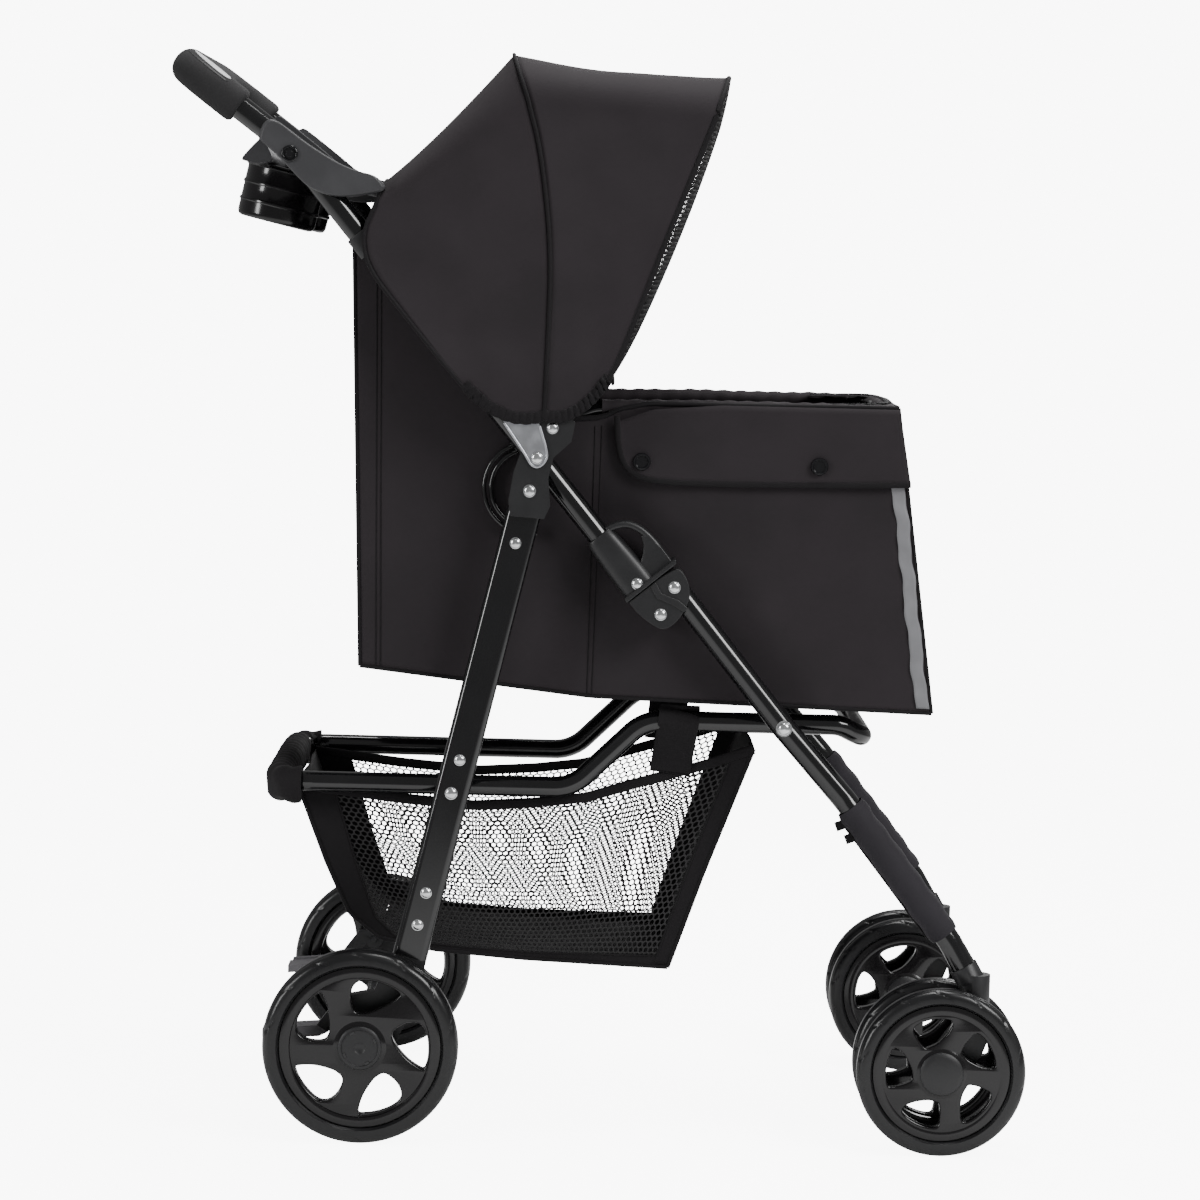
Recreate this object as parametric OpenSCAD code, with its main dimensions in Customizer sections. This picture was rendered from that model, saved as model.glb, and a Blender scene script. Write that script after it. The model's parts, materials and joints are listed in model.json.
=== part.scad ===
// Four-wheel folding pet stroller, facing +X, with +Z up. All sizes are in millimetres.
// Side-view places are [x, z] pairs measured from the rear axle's plan position and the floor.

/* [Wheels] */
// Radius of each rear wheel
rear_wheel_r = 85; // [80:1:90]
// Width of each rear tyre
rear_wheel_w = 28; // [24:1:28]
// Radius of each front wheel
front_wheel_r = 73.5; // [68:0.5:76]
// Width of each front tyre
front_wheel_w = 22; // [18:1:24]
// Distance from the rear axle to the front axle
wheelbase = 504; // [495:1:510]
// How far each front axle trails behind its swivel
caster_trail = 30; // [26:1:32]

/* [Widths] */
// Half the distance between the middles of the two rear wheels
rear_wheel_y = 206.5; // [206:0.5:210]
// Half the distance between the two caster swivels
caster_y = 181; // [180:0.5:182]
// Half the distance between the handle tubes
tube_y = 168; // [167.8:0.1:168.2]
// Half the distance between the rear legs
leg_y = 185.5; // [185.4:0.1:185.6]
// Half the distance between the basket tubes
basket_tube_y = 134; // [130:1:134]
// Half the outside width of the cabin
cabin_half_w = 152; // [148:1:152]
// Half the outside width of the basket
basket_half_w = 122; // [110:1:122]

/* [Tubes] */
// Radius of the handle and front leg tubes
tube_r = 10.5; // [10:0.1:10.5]
// Wall of the round tubes
tube_wall = 1.5; // [1:0.1:2]
// Width of the flat-oval rear legs, seen from the side
leg_w = 30; // [26:1:30]
// Thickness of the flat-oval rear legs
leg_t = 11; // [10:0.5:11]
// Radius of the basket tubes
basket_tube_r = 9; // [8:0.5:9]
// Radius of the canopy hoops' wire
hoop_r = 2.1; // [1.8:0.1:2.1]
// Radius of the foam grip
grip_r = 16; // [15:0.5:18]

/* [Hidden] */
$fn = 64;

// Running fit of a pin in a bore, per side
fit = 0.05;
// Gap between neighbours on different bodies
gap = 0.3;
// Radius of the main pivot pins and of the small ones
pin_r = 4;
small_pin_r = 3;

// Pivots and corners of the frame, as [x, z]
rear_axle_at = [0, rear_wheel_r];
front_axle_at = [wheelbase, front_wheel_r];
swivel_x = wheelbase + caster_trail;
leg_pivot = [135.1, 569];
basket_pivot = [73.4, 305];
lock_pivot = [250.9, 464];
strut_pivot = [360.7, 366.8];
plate_rivet = [140.9, 597.7];
rim_pivot = [153.6, 623.5];
hoop_pivot = [140, 650];
leg_foot = [40.3, 160];
handle_bend = [-76.5, 857.5];
handle_corner = [-168, 925.5];
tray_bolt_at = [-77, 852];

// Directions in the side view
function unit(v) = v / norm(v);
function turn(v) = [-v[1], v[0]];
function slope(v) = atan2(v[1], v[0]);
up_tube = unit(handle_bend - lock_pivot);
out_tube = [up_tube[1], -up_tube[0]];
up_leg = unit(leg_pivot - leg_foot);
strut_offset = 23.8;
strut_shoulder = lock_pivot + strut_offset * out_tube;
up_strut = unit(strut_shoulder - strut_pivot);
strut_top = strut_shoulder + 24 * up_strut;

// Faces across the width
leg_out = leg_y + leg_t / 2;
leg_in = leg_y - leg_t / 2;
plate_in = leg_out + gap;
plate_out = plate_in + 5;
bracket_t = 1.6;
bracket_out = plate_out + bracket_t;
housing_in = leg_in - 3;
fork_half = front_wheel_w / 2;
front_wheel_offset = 25;

// The object's box is centred on the origin, from the grip's back to the front wheels
x_back = handle_corner[0] - grip_r;
x_front = wheelbase + front_wheel_r;
x_shift = -(x_back + x_front) / 2;

// ---- shared shapes ----

module placed() {
  translate([x_shift, 0, 0]) children();
}

module mirrored() {
  mirror([0, 1, 0]) children();
}

module both_sides() {
  children();
  mirrored() children();
}

// A straight rod between two points in space
module rod(a, b, r) {
  d = b - a;
  translate(a)
    rotate([0, acos(d[2] / norm(d)), atan2(d[1], d[0])])
      cylinder(r = r, h = norm(d));
}

// The tangent length and the turn of the bend at point i of a path
function bend_angle(p, i) = acos(unit(p[i] - p[i - 1]) * unit(p[i + 1] - p[i]));
function bend_reach(p, i, bend_r) = bend_r * tan(bend_angle(p, i) / 2);

// Where the straight run from point i to point i + 1 begins and ends
function run_start(p, i, bend_r) = i == 0 ? p[0] : p[i] + bend_reach(p, i, bend_r) * unit(p[i + 1] - p[i]);
function run_end(p, i, bend_r) = i == len(p) - 2 ? p[i + 1]
  : p[i + 1] - bend_reach(p, i + 1, bend_r) * unit(p[i + 1] - p[i]);

// Each bend is this much thicker than the straight runs, in and out, so that they meet at a clean step
lap = 0.05;

// The bend at point i: a part of a torus, from the end of one straight run to the start of the next
module elbow(p, i, r, inner, bend_r) {
  a = unit(p[i] - p[i - 1]);
  b = unit(p[i + 1] - p[i]);
  x = -unit(b - (a * b) * a);
  z = cross(x, a);
  c = p[i] - bend_reach(p, i, bend_r) * a - bend_r * x;
  multmatrix([[x[0], a[0], z[0], c[0]], [x[1], a[1], z[1], c[1]], [x[2], a[2], z[2], c[2]], [0, 0, 0, 1]])
    rotate(-0.3) rotate_extrude(angle = bend_angle(p, i) + 0.6) translate([bend_r, 0]) difference() {
      circle(r = r + lap);
      if (inner > 0) circle(r = inner - lap);
    }
}

// A round tube bent smoothly through a path of points; inner is its bore's radius, or 0 for a solid rod
module bent_tube(p, r, inner, bend_r) {
  for (i = [0 : len(p) - 2]) {
    from = run_start(p, i, bend_r);
    to = run_end(p, i, bend_r);
    difference() {
      rod(from, to, r);
      if (inner > 0) rod(from - 0.5 * unit(to - from), to + 0.5 * unit(to - from), inner);
    }
  }
  for (i = [1 : 1 : len(p) - 2]) elbow(p, i, r, inner, bend_r);
}

// A side-view place lifted into space at a given y
function at(p, y) = [p[0], y, p[1]];

// A round boss or pin across the width, from y0 to y1
module cross_pin(p, r, y0, y1) {
  translate(at(p, y0)) rotate([-90, 0, 0]) cylinder(r = r, h = y1 - y0);
}

// A side-view outline given a thickness across the width, from y0 to y1
module side_plate(outline, y0, y1) {
  translate([0, y1, 0]) rotate([90, 0, 0]) linear_extrude(height = y1 - y0) polygon(outline);
}

// Children drawn with x up the handle tube from the lock pivot and z out from it
module on_tube(y) {
  translate(at(lock_pivot, y)) rotate([0, -slope(up_tube), 0]) mirror([0, 0, 1]) children();
}

// A low domed rivet head standing on a face at y
module rivet_head(p, r, y) {
  cross_pin(p, r, y, y + 1);
  cross_pin(p, r * 0.7, y + 1, y + 1.8);
}

// A row of points along an arc in the side view
function arc(c, r, a0, a1, n) = [for (i = [0 : n]) let (a = a0 + (a1 - a0) * i / n) c + r * [cos(a), sin(a)]];

// ---- rear frame ----

module stadium(w, t) {
  square([w - t, t], center = true);
  for (s = [-1, 1]) translate([s * (w - t) / 2, 0]) circle(r = t / 2);
}

leg_cap_drop = 16;

module rear_leg() {
  color("#151515") placed() difference() {
    translate(at(leg_foot, leg_y)) rotate([0, 90 - slope(up_leg), 0])
      linear_extrude(height = norm(leg_pivot - leg_foot) - leg_cap_drop) difference() {
        stadium(leg_w, leg_t);
        stadium(leg_w - 2 * tube_wall, leg_t - 2 * tube_wall);
      }
    cross_pin(basket_pivot, pin_r, leg_in - 1, leg_out + 1);
  }
}

module leg_cap() {
  difference() {
    union() {
      cross_pin(leg_pivot, leg_w / 2, leg_in, leg_out);
      translate(at(leg_pivot, leg_y)) rotate([0, 90 - slope(up_leg), 0])
        translate([-leg_w / 2, -leg_t / 2, -leg_cap_drop]) cube([leg_w, leg_t, leg_cap_drop]);
    }
    cross_pin(leg_pivot, pin_r + fit, leg_in - 1, leg_out + 1);
  }
}

module leg_caps() {
  color("#2b2b2d") placed() both_sides() leg_cap();
}

brake_pivot = [-8, 112];

module axle_housing() {
  side = leg_w / 2 * [up_leg[1], -up_leg[0]];
  outline = [leg_foot - side, leg_foot + side, [44, 112], [20, 70], [8, 64], [-12, 66], [-20, 84], [-22, 116],
             [-10, 126], [10, 130]];
  color("#2b2b2d") placed() {
    difference() {
      side_plate(outline, housing_in, leg_out);
      cross_pin(rear_axle_at, pin_r, housing_in - 1, leg_out + 1);
    }
    cross_pin(brake_pivot, small_pin_r, housing_in - 10, housing_in);
  }
}

module rear_axle() {
  end = rear_wheel_y + 6;
  color("silver") placed() {
    cross_pin(rear_axle_at, pin_r, -end, end);
    cross_pin(rear_axle_at, 8, -housing_in, housing_in);
  }
}

leg_rivets = [[124, 523.4], [80.2, 334.1], [53.6, 217.4], [46.8, 189.1]];

module rear_rivets() {
  color("silver") placed() both_sides() {
    for (p = leg_rivets) rivet_head(p, 4.5, leg_out);
    rivet_head(basket_pivot, 5, leg_out);
    cross_pin(basket_pivot, pin_r, basket_tube_y - 5, leg_out);
  }
}

// ---- wheels ----

// A tyre round the y axis, centred on the origin
module tyre(r, w, depth) {
  round_r = 6;
  color("#1c1c1c") rotate([90, 0, 0]) rotate_extrude() difference() {
    union() {
      translate([r - depth, -w / 2 + round_r]) square([depth, w - 2 * round_r]);
      translate([r - depth, -w / 2]) square([depth - round_r, w]);
      for (s = [-1, 1]) translate([r - round_r, s * (w / 2 - round_r)]) circle(r = round_r);
    }
    for (s = [-1, 1]) translate([r - depth / 3, s * w / 2]) circle(r = 1);
  }
}

// A rim with five curved spokes round a bored hub, centred on the origin
module rim(r_out, r_in, hub_r, w, bore) {
  spoke_w = hub_r * 0.75;
  color("#202022") rotate([90, 0, 0]) difference() {
    union() {
      rotate_extrude() translate([r_in, -w / 2]) square([r_out - r_in, w]);
      translate([0, 0, -w / 2]) cylinder(r = hub_r, h = w);
      for (i = [0 : 4]) rotate(72 * i) translate([0, 0, -w / 4]) linear_extrude(height = w / 2) polygon([
        [hub_r * 0.7, -spoke_w * 0.6], [hub_r * 1.9, -spoke_w * 0.9], [r_in + 1, -spoke_w * 1.9],
        [r_in + 1, -spoke_w * 0.5], [hub_r * 2.1, spoke_w * 0.3], [hub_r * 0.7, spoke_w * 0.7]]);
    }
    cylinder(r = bore, h = 3 * w, center = true);
  }
}

module at_wheel(axle, y) {
  translate(at(axle, y)) children();
}

module rear_tyre() {
  placed() at_wheel(rear_axle_at, rear_wheel_y) tyre(rear_wheel_r, rear_wheel_w, 14.5);
}

module rear_rim() {
  placed() at_wheel(rear_axle_at, rear_wheel_y)
    rim(rear_wheel_r - 14.5, rear_wheel_r - 25, 17, rear_wheel_w - 6, pin_r + fit);
}

module rear_hub_cap() {
  y0 = rear_wheel_y + (rear_wheel_w - 6) / 2;
  color("#2b2b2d") placed() {
    cross_pin(rear_axle_at, 19, y0, y0 + 2);
    cross_pin(rear_axle_at, 15, y0 + 2, y0 + 3);
  }
}

module front_tyre(y) {
  placed() at_wheel(front_axle_at, y) tyre(front_wheel_r, front_wheel_w, 13.5);
}

module front_rim(y, side) {
  placed() {
    at_wheel(front_axle_at, y)
      rim(front_wheel_r - 13.5, front_wheel_r - 23, 16, front_wheel_w - 5, pin_r + fit);
    cap_y = y + side * (front_wheel_w - 5) / 2;
    color("#2b2b2d") cross_pin(front_axle_at, 19, min(cap_y, cap_y + side * 2), max(cap_y, cap_y + side * 2));
  }
}

// ---- brakes ----

module brake_pedal() {
  pad = [[-87, 84], [-85, 92], [-40, 96], [-22, 120], [-12, 122], [-16, 106], [-30, 90], [-38, 86]];
  outer = housing_in - 0.5;
  color("#4a4a4c") placed() difference() {
    union() {
      side_plate(pad, outer - 7, outer);
      side_plate([[-88, 83], [-88, 90], [-36, 94], [-36, 87]], outer - 36, outer - 7);
      cross_pin(brake_pivot, 9, outer - 7, outer);
    }
    cross_pin(brake_pivot, small_pin_r + fit, outer - 40, outer + 1);
  }
}

// ---- handle frame ----

bar_start = handle_bend - 30 * up_tube;
tube_start = lock_pivot + (tube_r + 1) * up_tube;
bar_bend_r = 45;
grip_start = handle_corner + 75 * unit(handle_bend - handle_corner);

function reversed_mirror(p) = [for (i = [len(p) - 1 : -1 : 0]) [p[i][0], -p[i][1], p[i][2]]];
function closed_over(side) = concat(side, reversed_mirror(side));

module handle_tube() {
  color("#151515") placed()
    bent_tube([at(tube_start, tube_y), at(bar_start, tube_y)], tube_r, tube_r - tube_wall, bar_bend_r);
}

module handle_bar() {
  path = closed_over([at(bar_start, tube_y), at(handle_bend, tube_y), at(handle_corner, tube_y)]);
  color("#151515") placed() bent_tube(path, tube_r, tube_r - tube_wall, bar_bend_r);
}

module handle_grip() {
  path = closed_over([at(grip_start, tube_y), at(handle_corner, tube_y)]);
  color("#2e2e30") placed() bent_tube(path, grip_r, tube_r + 2 * lap, bar_bend_r);
}

module hub_plate() {
  outline = [[119, 547], [148, 545], [153, 556], [151, 580], [155, 598], [170, 612], [173, 628], [163, 640],
             [146, 638], [130, 612], [121, 585], [117, 560]];
  boss_in = tube_y + tube_r;
  color("#2b2b2d") placed() {
    side_plate(outline, plate_in, plate_out);
    cross_pin(plate_rivet, 7, boss_in + 0.1, plate_in);
    cross_pin(leg_pivot, pin_r, leg_in, plate_in);
    cross_pin(rim_pivot, 8, cabin_half_w + 1, plate_in);
    cross_pin(rim_pivot, small_pin_r, cabin_half_w - 12, cabin_half_w + 1);
  }
}

module canopy_bracket() {
  outline = concat(arc(plate_rivet, 9, 205, 335, 6), [[147, 630], [149, 656], [140, 662], [120, 661], [113, 640]]);
  inner_plate = [[131, 636], [149, 636], [150, 656], [140, 662], [129, 656]];
  inner_y = tube_y + tube_r + 2.5;
  side_plate(outline, plate_out, bracket_out);
  side_plate(inner_plate, inner_y, inner_y + bracket_t);
  cross_pin(hoop_pivot, small_pin_r, inner_y + bracket_t, plate_out);
}

module canopy_brackets() {
  color("#b9bcc0") placed() both_sides() canopy_bracket();
}

module hub_rivets() {
  color("silver") placed() both_sides() {
    rivet_head(plate_rivet, 5, bracket_out);
    rivet_head(leg_pivot, 5, plate_out);
    rivet_head(rim_pivot, 4, plate_out);
  }
}

module hinge_eye() {
  difference() {
    union() {
      cross_pin(lock_pivot, tube_r - 0.2, tube_y - 9.5, tube_y + 9.5);
      rod(at(lock_pivot, tube_y), at(lock_pivot + 30 * up_tube, tube_y), tube_r - tube_wall);
    }
    cross_pin(lock_pivot, pin_r + fit, tube_y - 20, tube_y + 20);
  }
}

module hinge_eyes() {
  color("#2b2b2d") placed() both_sides() hinge_eye();
}

module stay_rod() {
  wire_r = 2;
  for (r = [34, 40])
    translate(at(leg_pivot, cabin_half_w + 2.8)) rotate([90, 0, 0])
      rotate([0, 0, 80]) rotate_extrude(angle = 200) translate([r, 0]) circle(r = wire_r);
}

module cabin_stay_rods() {
  color("#151515") placed() both_sides() stay_rod();
}

tray_half_w = tube_y + tube_r + 4;
tray_deck = [-86, 838];
tray_tilt = 13;
cup_r = 36;
cup_y = 78;

module in_tray() {
  translate(at(tray_deck, 0)) rotate([0, tray_tilt, 0]) children();
}

module cup_places() {
  for (s = [-1, 1]) translate([0, s * cup_y, 0]) children();
}

module parent_tray() {
  wall = [[-103, 882], [-88, 879], [-31, 845], [4, 826], [3, 819], [-30, 816], [-60, 824], [-112, 866]];
  deck_t = 3;
  in_w = tube_y - tube_r - 1.5;
  color("#3d3d40") placed() {
    both_sides() difference() {
      side_plate(wall, in_w - 2.5, tray_half_w);
      bent_tube([at(bar_start - 90 * up_tube, tube_y), at(handle_bend, tube_y), at(grip_start, tube_y)], tube_r,
                0, bar_bend_r);
    }
    difference() {
      in_tray() translate([-34, -in_w + 2.5, 0]) cube([112, 2 * in_w - 5, deck_t]);
      in_tray() cup_places() translate([0, 0, -5]) cylinder(r = cup_r, h = 20);
    }
  }
}

module cup_holders() {
  depth = 46;
  color("#1a1a1a") placed() in_tray() cup_places() difference() {
    union() {
      translate([0, 0, -depth]) cylinder(r = cup_r - 1, h = depth);
      translate([0, 0, -0.001]) cylinder(r = cup_r, h = 3.001);
      for (z = [-14, -30]) translate([0, 0, z]) cylinder(r = cup_r, h = 2);
    }
    translate([0, 0, -depth + 2.5]) cylinder(r = cup_r - 3.5, h = depth + 10);
  }
}

module tray_bolts() {
  color("#1a1a1a") placed() both_sides() {
    cross_pin(tray_bolt_at, 8, tray_half_w, tray_half_w + 2);
    translate(at(tray_bolt_at, tray_half_w + 2)) rotate([-90, 0, 0]) cylinder(r = 5, h = 3, $fn = 6);
  }
}

// ---- cabin and canopy ----

cabin_wall = 2;
cabin_outline = [[-23, 776], [-10, 409], [192, 387], [492, 379], [455, 648], [160, 650], [128, 640], [2, 768]];
cabin_inside = [[-21, 800], [-8, 411], [192, 389], [489.8, 381.2], [452, 670], [160, 670], [20, 800]];

module cabin_shell() {
  color("#262124") placed() difference() {
    side_plate(cabin_outline, -cabin_half_w, cabin_half_w);
    side_plate(cabin_inside, -cabin_half_w + cabin_wall, cabin_half_w - cabin_wall);
    cross_pin(rim_pivot, small_pin_r + 1, -cabin_half_w - 1, cabin_half_w + 1);
  }
}

module cabin_floor() {
  color("#2f2b2d") placed()
    side_plate([[0, 411.5], [192, 390], [480, 382.5], [480, 392.5], [192, 400], [0, 421.5]], -142, 142);
}

// Half the canopy's width at its hem and at its top, and the hoops' own at their eyes and at their top
hem_half_w = bracket_out + 2;
crown_half_w = 170;
mid_hoop_y = leg_out - 0.5;
front_hoop_y = mid_hoop_y - 5;
hoop_top_y = crown_half_w - 8;
hoop_corner_r = 60;

// A wire hoop over the cabin: its two eyes, and the wire from one round to the other
module hoop(knee, knee_y, top, y) {
  foot = hoop_pivot + 7.5 * unit(knee - hoop_pivot);
  bent_tube(closed_over([at(foot, y), at(knee, knee_y), at(top, hoop_top_y)]), hoop_r, 0, hoop_corner_r);
  both_sides() difference() {
    union() {
      cross_pin(hoop_pivot, 7, y - 2.2, y + 2.2);
      rod(at(hoop_pivot, y), at(foot + 0.3 * unit(knee - hoop_pivot), y), hoop_r - 2 * lap);
    }
    cross_pin(hoop_pivot, small_pin_r + fit, y - 5, y + 5);
  }
}

module mid_hoop() {
  color("#151515") placed() hoop([148, 785], mid_hoop_y - 14, [112, 936], mid_hoop_y);
}

module front_hoop() {
  color("#151515") placed() hoop([206, 682], front_hoop_y, [297, 920], front_hoop_y);
}

// A hood section: a side outline cut from a tunnel that narrows to a rounded top, open below and at its ends
module hood(outline, inside, wall) {
  module tunnel(inset) {
    corner = 45;
    low = 600;
    top = 944 - inset;
    half_top = crown_half_w - inset;
    half_hem = hem_half_w - inset;
    side = [[half_hem, low], [half_hem, 670], [half_top + 4, 860], [half_top, top - corner]];
    round_top = arc([half_top - corner, top - corner], corner, 15, 90, 5);
    half = concat(side, round_top);
    rotate([90, 0, 90]) translate([0, 0, -100]) linear_extrude(height = 500)
      polygon(concat(half, [for (i = [len(half) - 1 : -1 : 0]) [-half[i][0], half[i][1]]]));
  }
  difference() {
    intersection() {
      side_plate(outline, -hem_half_w - 1, hem_half_w + 1);
      tunnel(0);
    }
    intersection() {
      side_plate(inside, -hem_half_w, hem_half_w);
      tunnel(wall);
    }
  }
}

module canopy_rear() {
  outline = [[106, 943], [14, 842], [-10, 790], [-12, 762], [70, 660], [104, 634], [134, 632], [141, 776],
             [130, 866]];
  inside = [[112, 940], [18, 838], [-20, 790], [-20, 740], [63, 650], [104, 600], [150, 600], [150, 776],
            [146, 866]];
  color("#262124") placed() hood(outline, inside, 2);
}

module canopy_front() {
  outline = [[120, 944], [143, 866], [155, 776], [149, 632], [172, 636], [198, 665], [212, 692], [230, 738],
             [266, 842], [299, 936]];
  inside = [[110, 940], [126, 866], [136, 776], [130, 600], [172, 600], [206, 663], [234, 737], [270, 841],
            [306, 933]];
  color("#262124") placed() hood(outline, inside, 2);
}

module cabin_rim() {
  r = 5;
  y = cabin_half_w - cabin_wall - 1 - r;
  path = closed_over([at([163, 627], y), at([190, 639], y), at([447, 642], y)]);
  color("#151515") placed() {
    bent_tube(path, r, 0, 30);
    both_sides() difference() {
      union() {
        cross_pin(rim_pivot, 8, y - 4, y + 4);
        rod(at(rim_pivot, y), path[0], 4);
      }
      cross_pin(rim_pivot, small_pin_r + fit, y - 6, y + 6);
    }
  }
}

// ---- fold locks ----

latch_travel = 18;

module fold_latch() {
  color("#2b2b2d") placed() on_tube(tube_y) difference() {
    union() {
      translate([27, -13, -14]) cube([56, 26, 28]);
      translate([28, -9, 13]) cube([10, 18, 17]);
      translate([28, -9, 24]) cube([44, 18, 6]);
      translate([64, -9, 13]) cube([8, 18, 17]);
    }
    rotate([0, 90, 0]) cylinder(r = tube_r + fit, h = 200, center = true);
  }
}

module fold_bracket() {
  cheek = [[-22, -6], [-14, -17], [4, -19], [18, -14], [21, -10], [25.5, 4], [25.5, 34], [6, 38], [-28, 38], [-34, 26],
           [-30, 6]];
  cheek_in = tube_r + 0.4;
  color("#2b2b2d") placed() {
    difference() {
      on_tube(tube_y) {
        for (s = [-1, 1]) translate([0, s > 0 ? cheek_in + 3.5 : -cheek_in, 0]) rotate([90, 0, 0])
          linear_extrude(height = 3.5) polygon(cheek);
        translate([-30, -cheek_in, 13]) cube([54, 2 * cheek_in, 24]);
      }
      rod(at(strut_top + 40 * up_strut, tube_y), at(strut_pivot, tube_y), tube_r);
    }
    cross_pin(lock_pivot, pin_r, tube_y - cheek_in, tube_y + cheek_in);
  }
}

// ---- front legs ----

strut_knee = [416.4, 304];
strut_shin = [510.4, 184];
strut_end = [530, 150];
leg_path = [at(strut_top, tube_y), at(strut_pivot, tube_y), at(strut_knee, tube_y),
            at(strut_shin, caster_y - 2), at(strut_end, caster_y)];
leg_bend_r = 60;

module front_leg() {
  color("#151515") placed() bent_tube(leg_path, tube_r, tube_r - tube_wall, leg_bend_r);
}

module leg_sleeve() {
  down = unit(leg_path[3] - leg_path[2]);
  difference() {
    rod(leg_path[2] + 8 * down, leg_path[3] - 8 * down, 14);
    rod(leg_path[2], leg_path[3], tube_r + 2 * lap);
  }
}

module leg_sleeves() {
  color("#333035") placed() both_sides() leg_sleeve();
}

socket_low = 119;

module caster_socket() {
  color("#2b2b2d") placed() difference() {
    union() {
      translate([swivel_x, caster_y, socket_low]) cylinder(r = 13, h = 37);
      rod(leg_path[4] + 14 * unit(leg_path[3] - leg_path[4]), leg_path[4], tube_r + 2);
    }
    rod(leg_path[3], leg_path[4], tube_r);
    translate([swivel_x, caster_y, socket_low - 1]) cylinder(r = pin_r + fit, h = 25);
  }
}

module front_rivets() {
  cheek_out = tube_y + tube_r + 0.4 + 3.5;
  color("silver") placed() both_sides() {
    cross_pin(strut_pivot, 7, tube_y + tube_r, tube_y + tube_r + 1.5);
    rivet_head(strut_pivot, 5.5, tube_y + tube_r + 1.5);
    cross_pin(strut_pivot, 6, basket_tube_y + basket_tube_r + 1, tube_y - tube_r);
    rivet_head(lock_pivot, 5, cheek_out);
    rivet_head([262.3, 487.8], 5, cheek_out);
  }
}

// ---- casters ----

module caster_fork() {
  body = concat(arc(front_axle_at, 15, 110, 290, 8), [[540, 84], [546, 100], [546, socket_low - 0.5],
                [522, socket_low - 0.5]]);
  reach = front_wheel_offset + front_wheel_w / 2 - 3;
  color("#2b2b2d") placed() {
    difference() {
      side_plate(body, caster_y - 10, caster_y + 10);
      cross_pin(front_axle_at, pin_r, caster_y - 11, caster_y + 11);
    }
    translate([swivel_x, caster_y, socket_low - 0.5]) cylinder(r = pin_r, h = 22);
    color("silver") cross_pin(front_axle_at, pin_r, caster_y - reach, caster_y + reach);
  }
}

// ---- basket ----

basket_bend_r = 40;
basket_rail = [[-40, 305], [178, 305], [240.5, 366], [395, 366]];

module basket_tube() {
  points = [for (p = basket_rail) at(p, basket_tube_y)];
  color("#151515") placed() difference() {
    bent_tube(points, basket_tube_r, basket_tube_r - tube_wall, basket_bend_r);
    cross_pin(basket_pivot, pin_r + fit, basket_tube_y - 20, basket_tube_y + 20);
  }
}

module basket_front_bar() {
  path = closed_over([at(basket_rail[3], basket_tube_y), at([412, 366], basket_tube_y), at([433, 355], 124)]);
  color("#151515") placed() bent_tube(path, basket_tube_r, basket_tube_r - tube_wall, 20);
}

module basket_rear_bar() {
  path = closed_over([at(basket_rail[0], basket_tube_y), at([-80, 305], basket_tube_y)]);
  color("#151515") placed() bent_tube(path, basket_tube_r, basket_tube_r - tube_wall, 30);
}

module basket() {
  outline = [[-64, 294], [11, 163], [140, 148], [267, 143], [338, 350], [250, 342], [186, 292], [90, 284]];
  inside = [[-66, 310], [12, 165.2], [140, 150.2], [265.5, 145.2], [334, 352], [330, 380], [-60, 380]];
  color("#242124") placed() difference() {
    side_plate(outline, -basket_half_w, basket_half_w);
    side_plate(inside, -basket_half_w + 2, basket_half_w - 2);
  }
}

rear_leg();  // rear_leg_left
mirrored() rear_leg();  // rear_leg_right
leg_caps();
axle_housing();  // axle_housing_left
mirrored() axle_housing();  // axle_housing_right
rear_axle();
rear_rivets();
rear_tyre();  // rear_tyre_left
rear_rim();  // rear_rim_left
rear_hub_cap();  // rear_hub_cap_left
mirrored() rear_tyre();  // rear_tyre_right
mirrored() rear_rim();  // rear_rim_right
mirrored() rear_hub_cap();  // rear_hub_cap_right
brake_pedal();  // brake_pedal_left
mirrored() brake_pedal();  // brake_pedal_right
handle_tube();  // handle_tube_left
mirrored() handle_tube();  // handle_tube_right
handle_bar();
handle_grip();
hub_plate();  // hub_plate_left
mirrored() hub_plate();  // hub_plate_right
canopy_brackets();
hub_rivets();
hinge_eyes();
cabin_stay_rods();
parent_tray();
cup_holders();
tray_bolts();
cabin_shell();
cabin_floor();
canopy_rear();
fold_latch();  // fold_latch_left
mirrored() fold_latch();  // fold_latch_right
front_leg();  // front_leg_left
mirrored() front_leg();  // front_leg_right
fold_bracket();  // fold_bracket_left
mirrored() fold_bracket();  // fold_bracket_right
leg_sleeves();
caster_socket();  // caster_socket_left
mirrored() caster_socket();  // caster_socket_right
front_rivets();
caster_fork();  // caster_fork_left
mirrored() caster_fork();  // caster_fork_right
front_tyre(caster_y + front_wheel_offset);  // front_tyre_left_outer
front_rim(caster_y + front_wheel_offset, 1);  // front_rim_left_outer
front_tyre(caster_y - front_wheel_offset);  // front_tyre_left_inner
front_rim(caster_y - front_wheel_offset, -1);  // front_rim_left_inner
mirrored() front_tyre(caster_y + front_wheel_offset);  // front_tyre_right_outer
mirrored() front_rim(caster_y + front_wheel_offset, 1);  // front_rim_right_outer
mirrored() front_tyre(caster_y - front_wheel_offset);  // front_tyre_right_inner
mirrored() front_rim(caster_y - front_wheel_offset, -1);  // front_rim_right_inner
basket_tube();  // basket_tube_left
mirrored() basket_tube();  // basket_tube_right
basket_front_bar();
basket_rear_bar();
basket();
cabin_rim();
mid_hoop();
canopy_front();
front_hoop();
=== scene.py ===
"""Looks of the folding pet stroller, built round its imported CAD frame."""

import json
from math import copysign, cos, exp, hypot, pi, radians, sin, sqrt, tan

import bmesh
import bpy
import numpy as np
from mathutils import Matrix, Vector, noise


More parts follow.
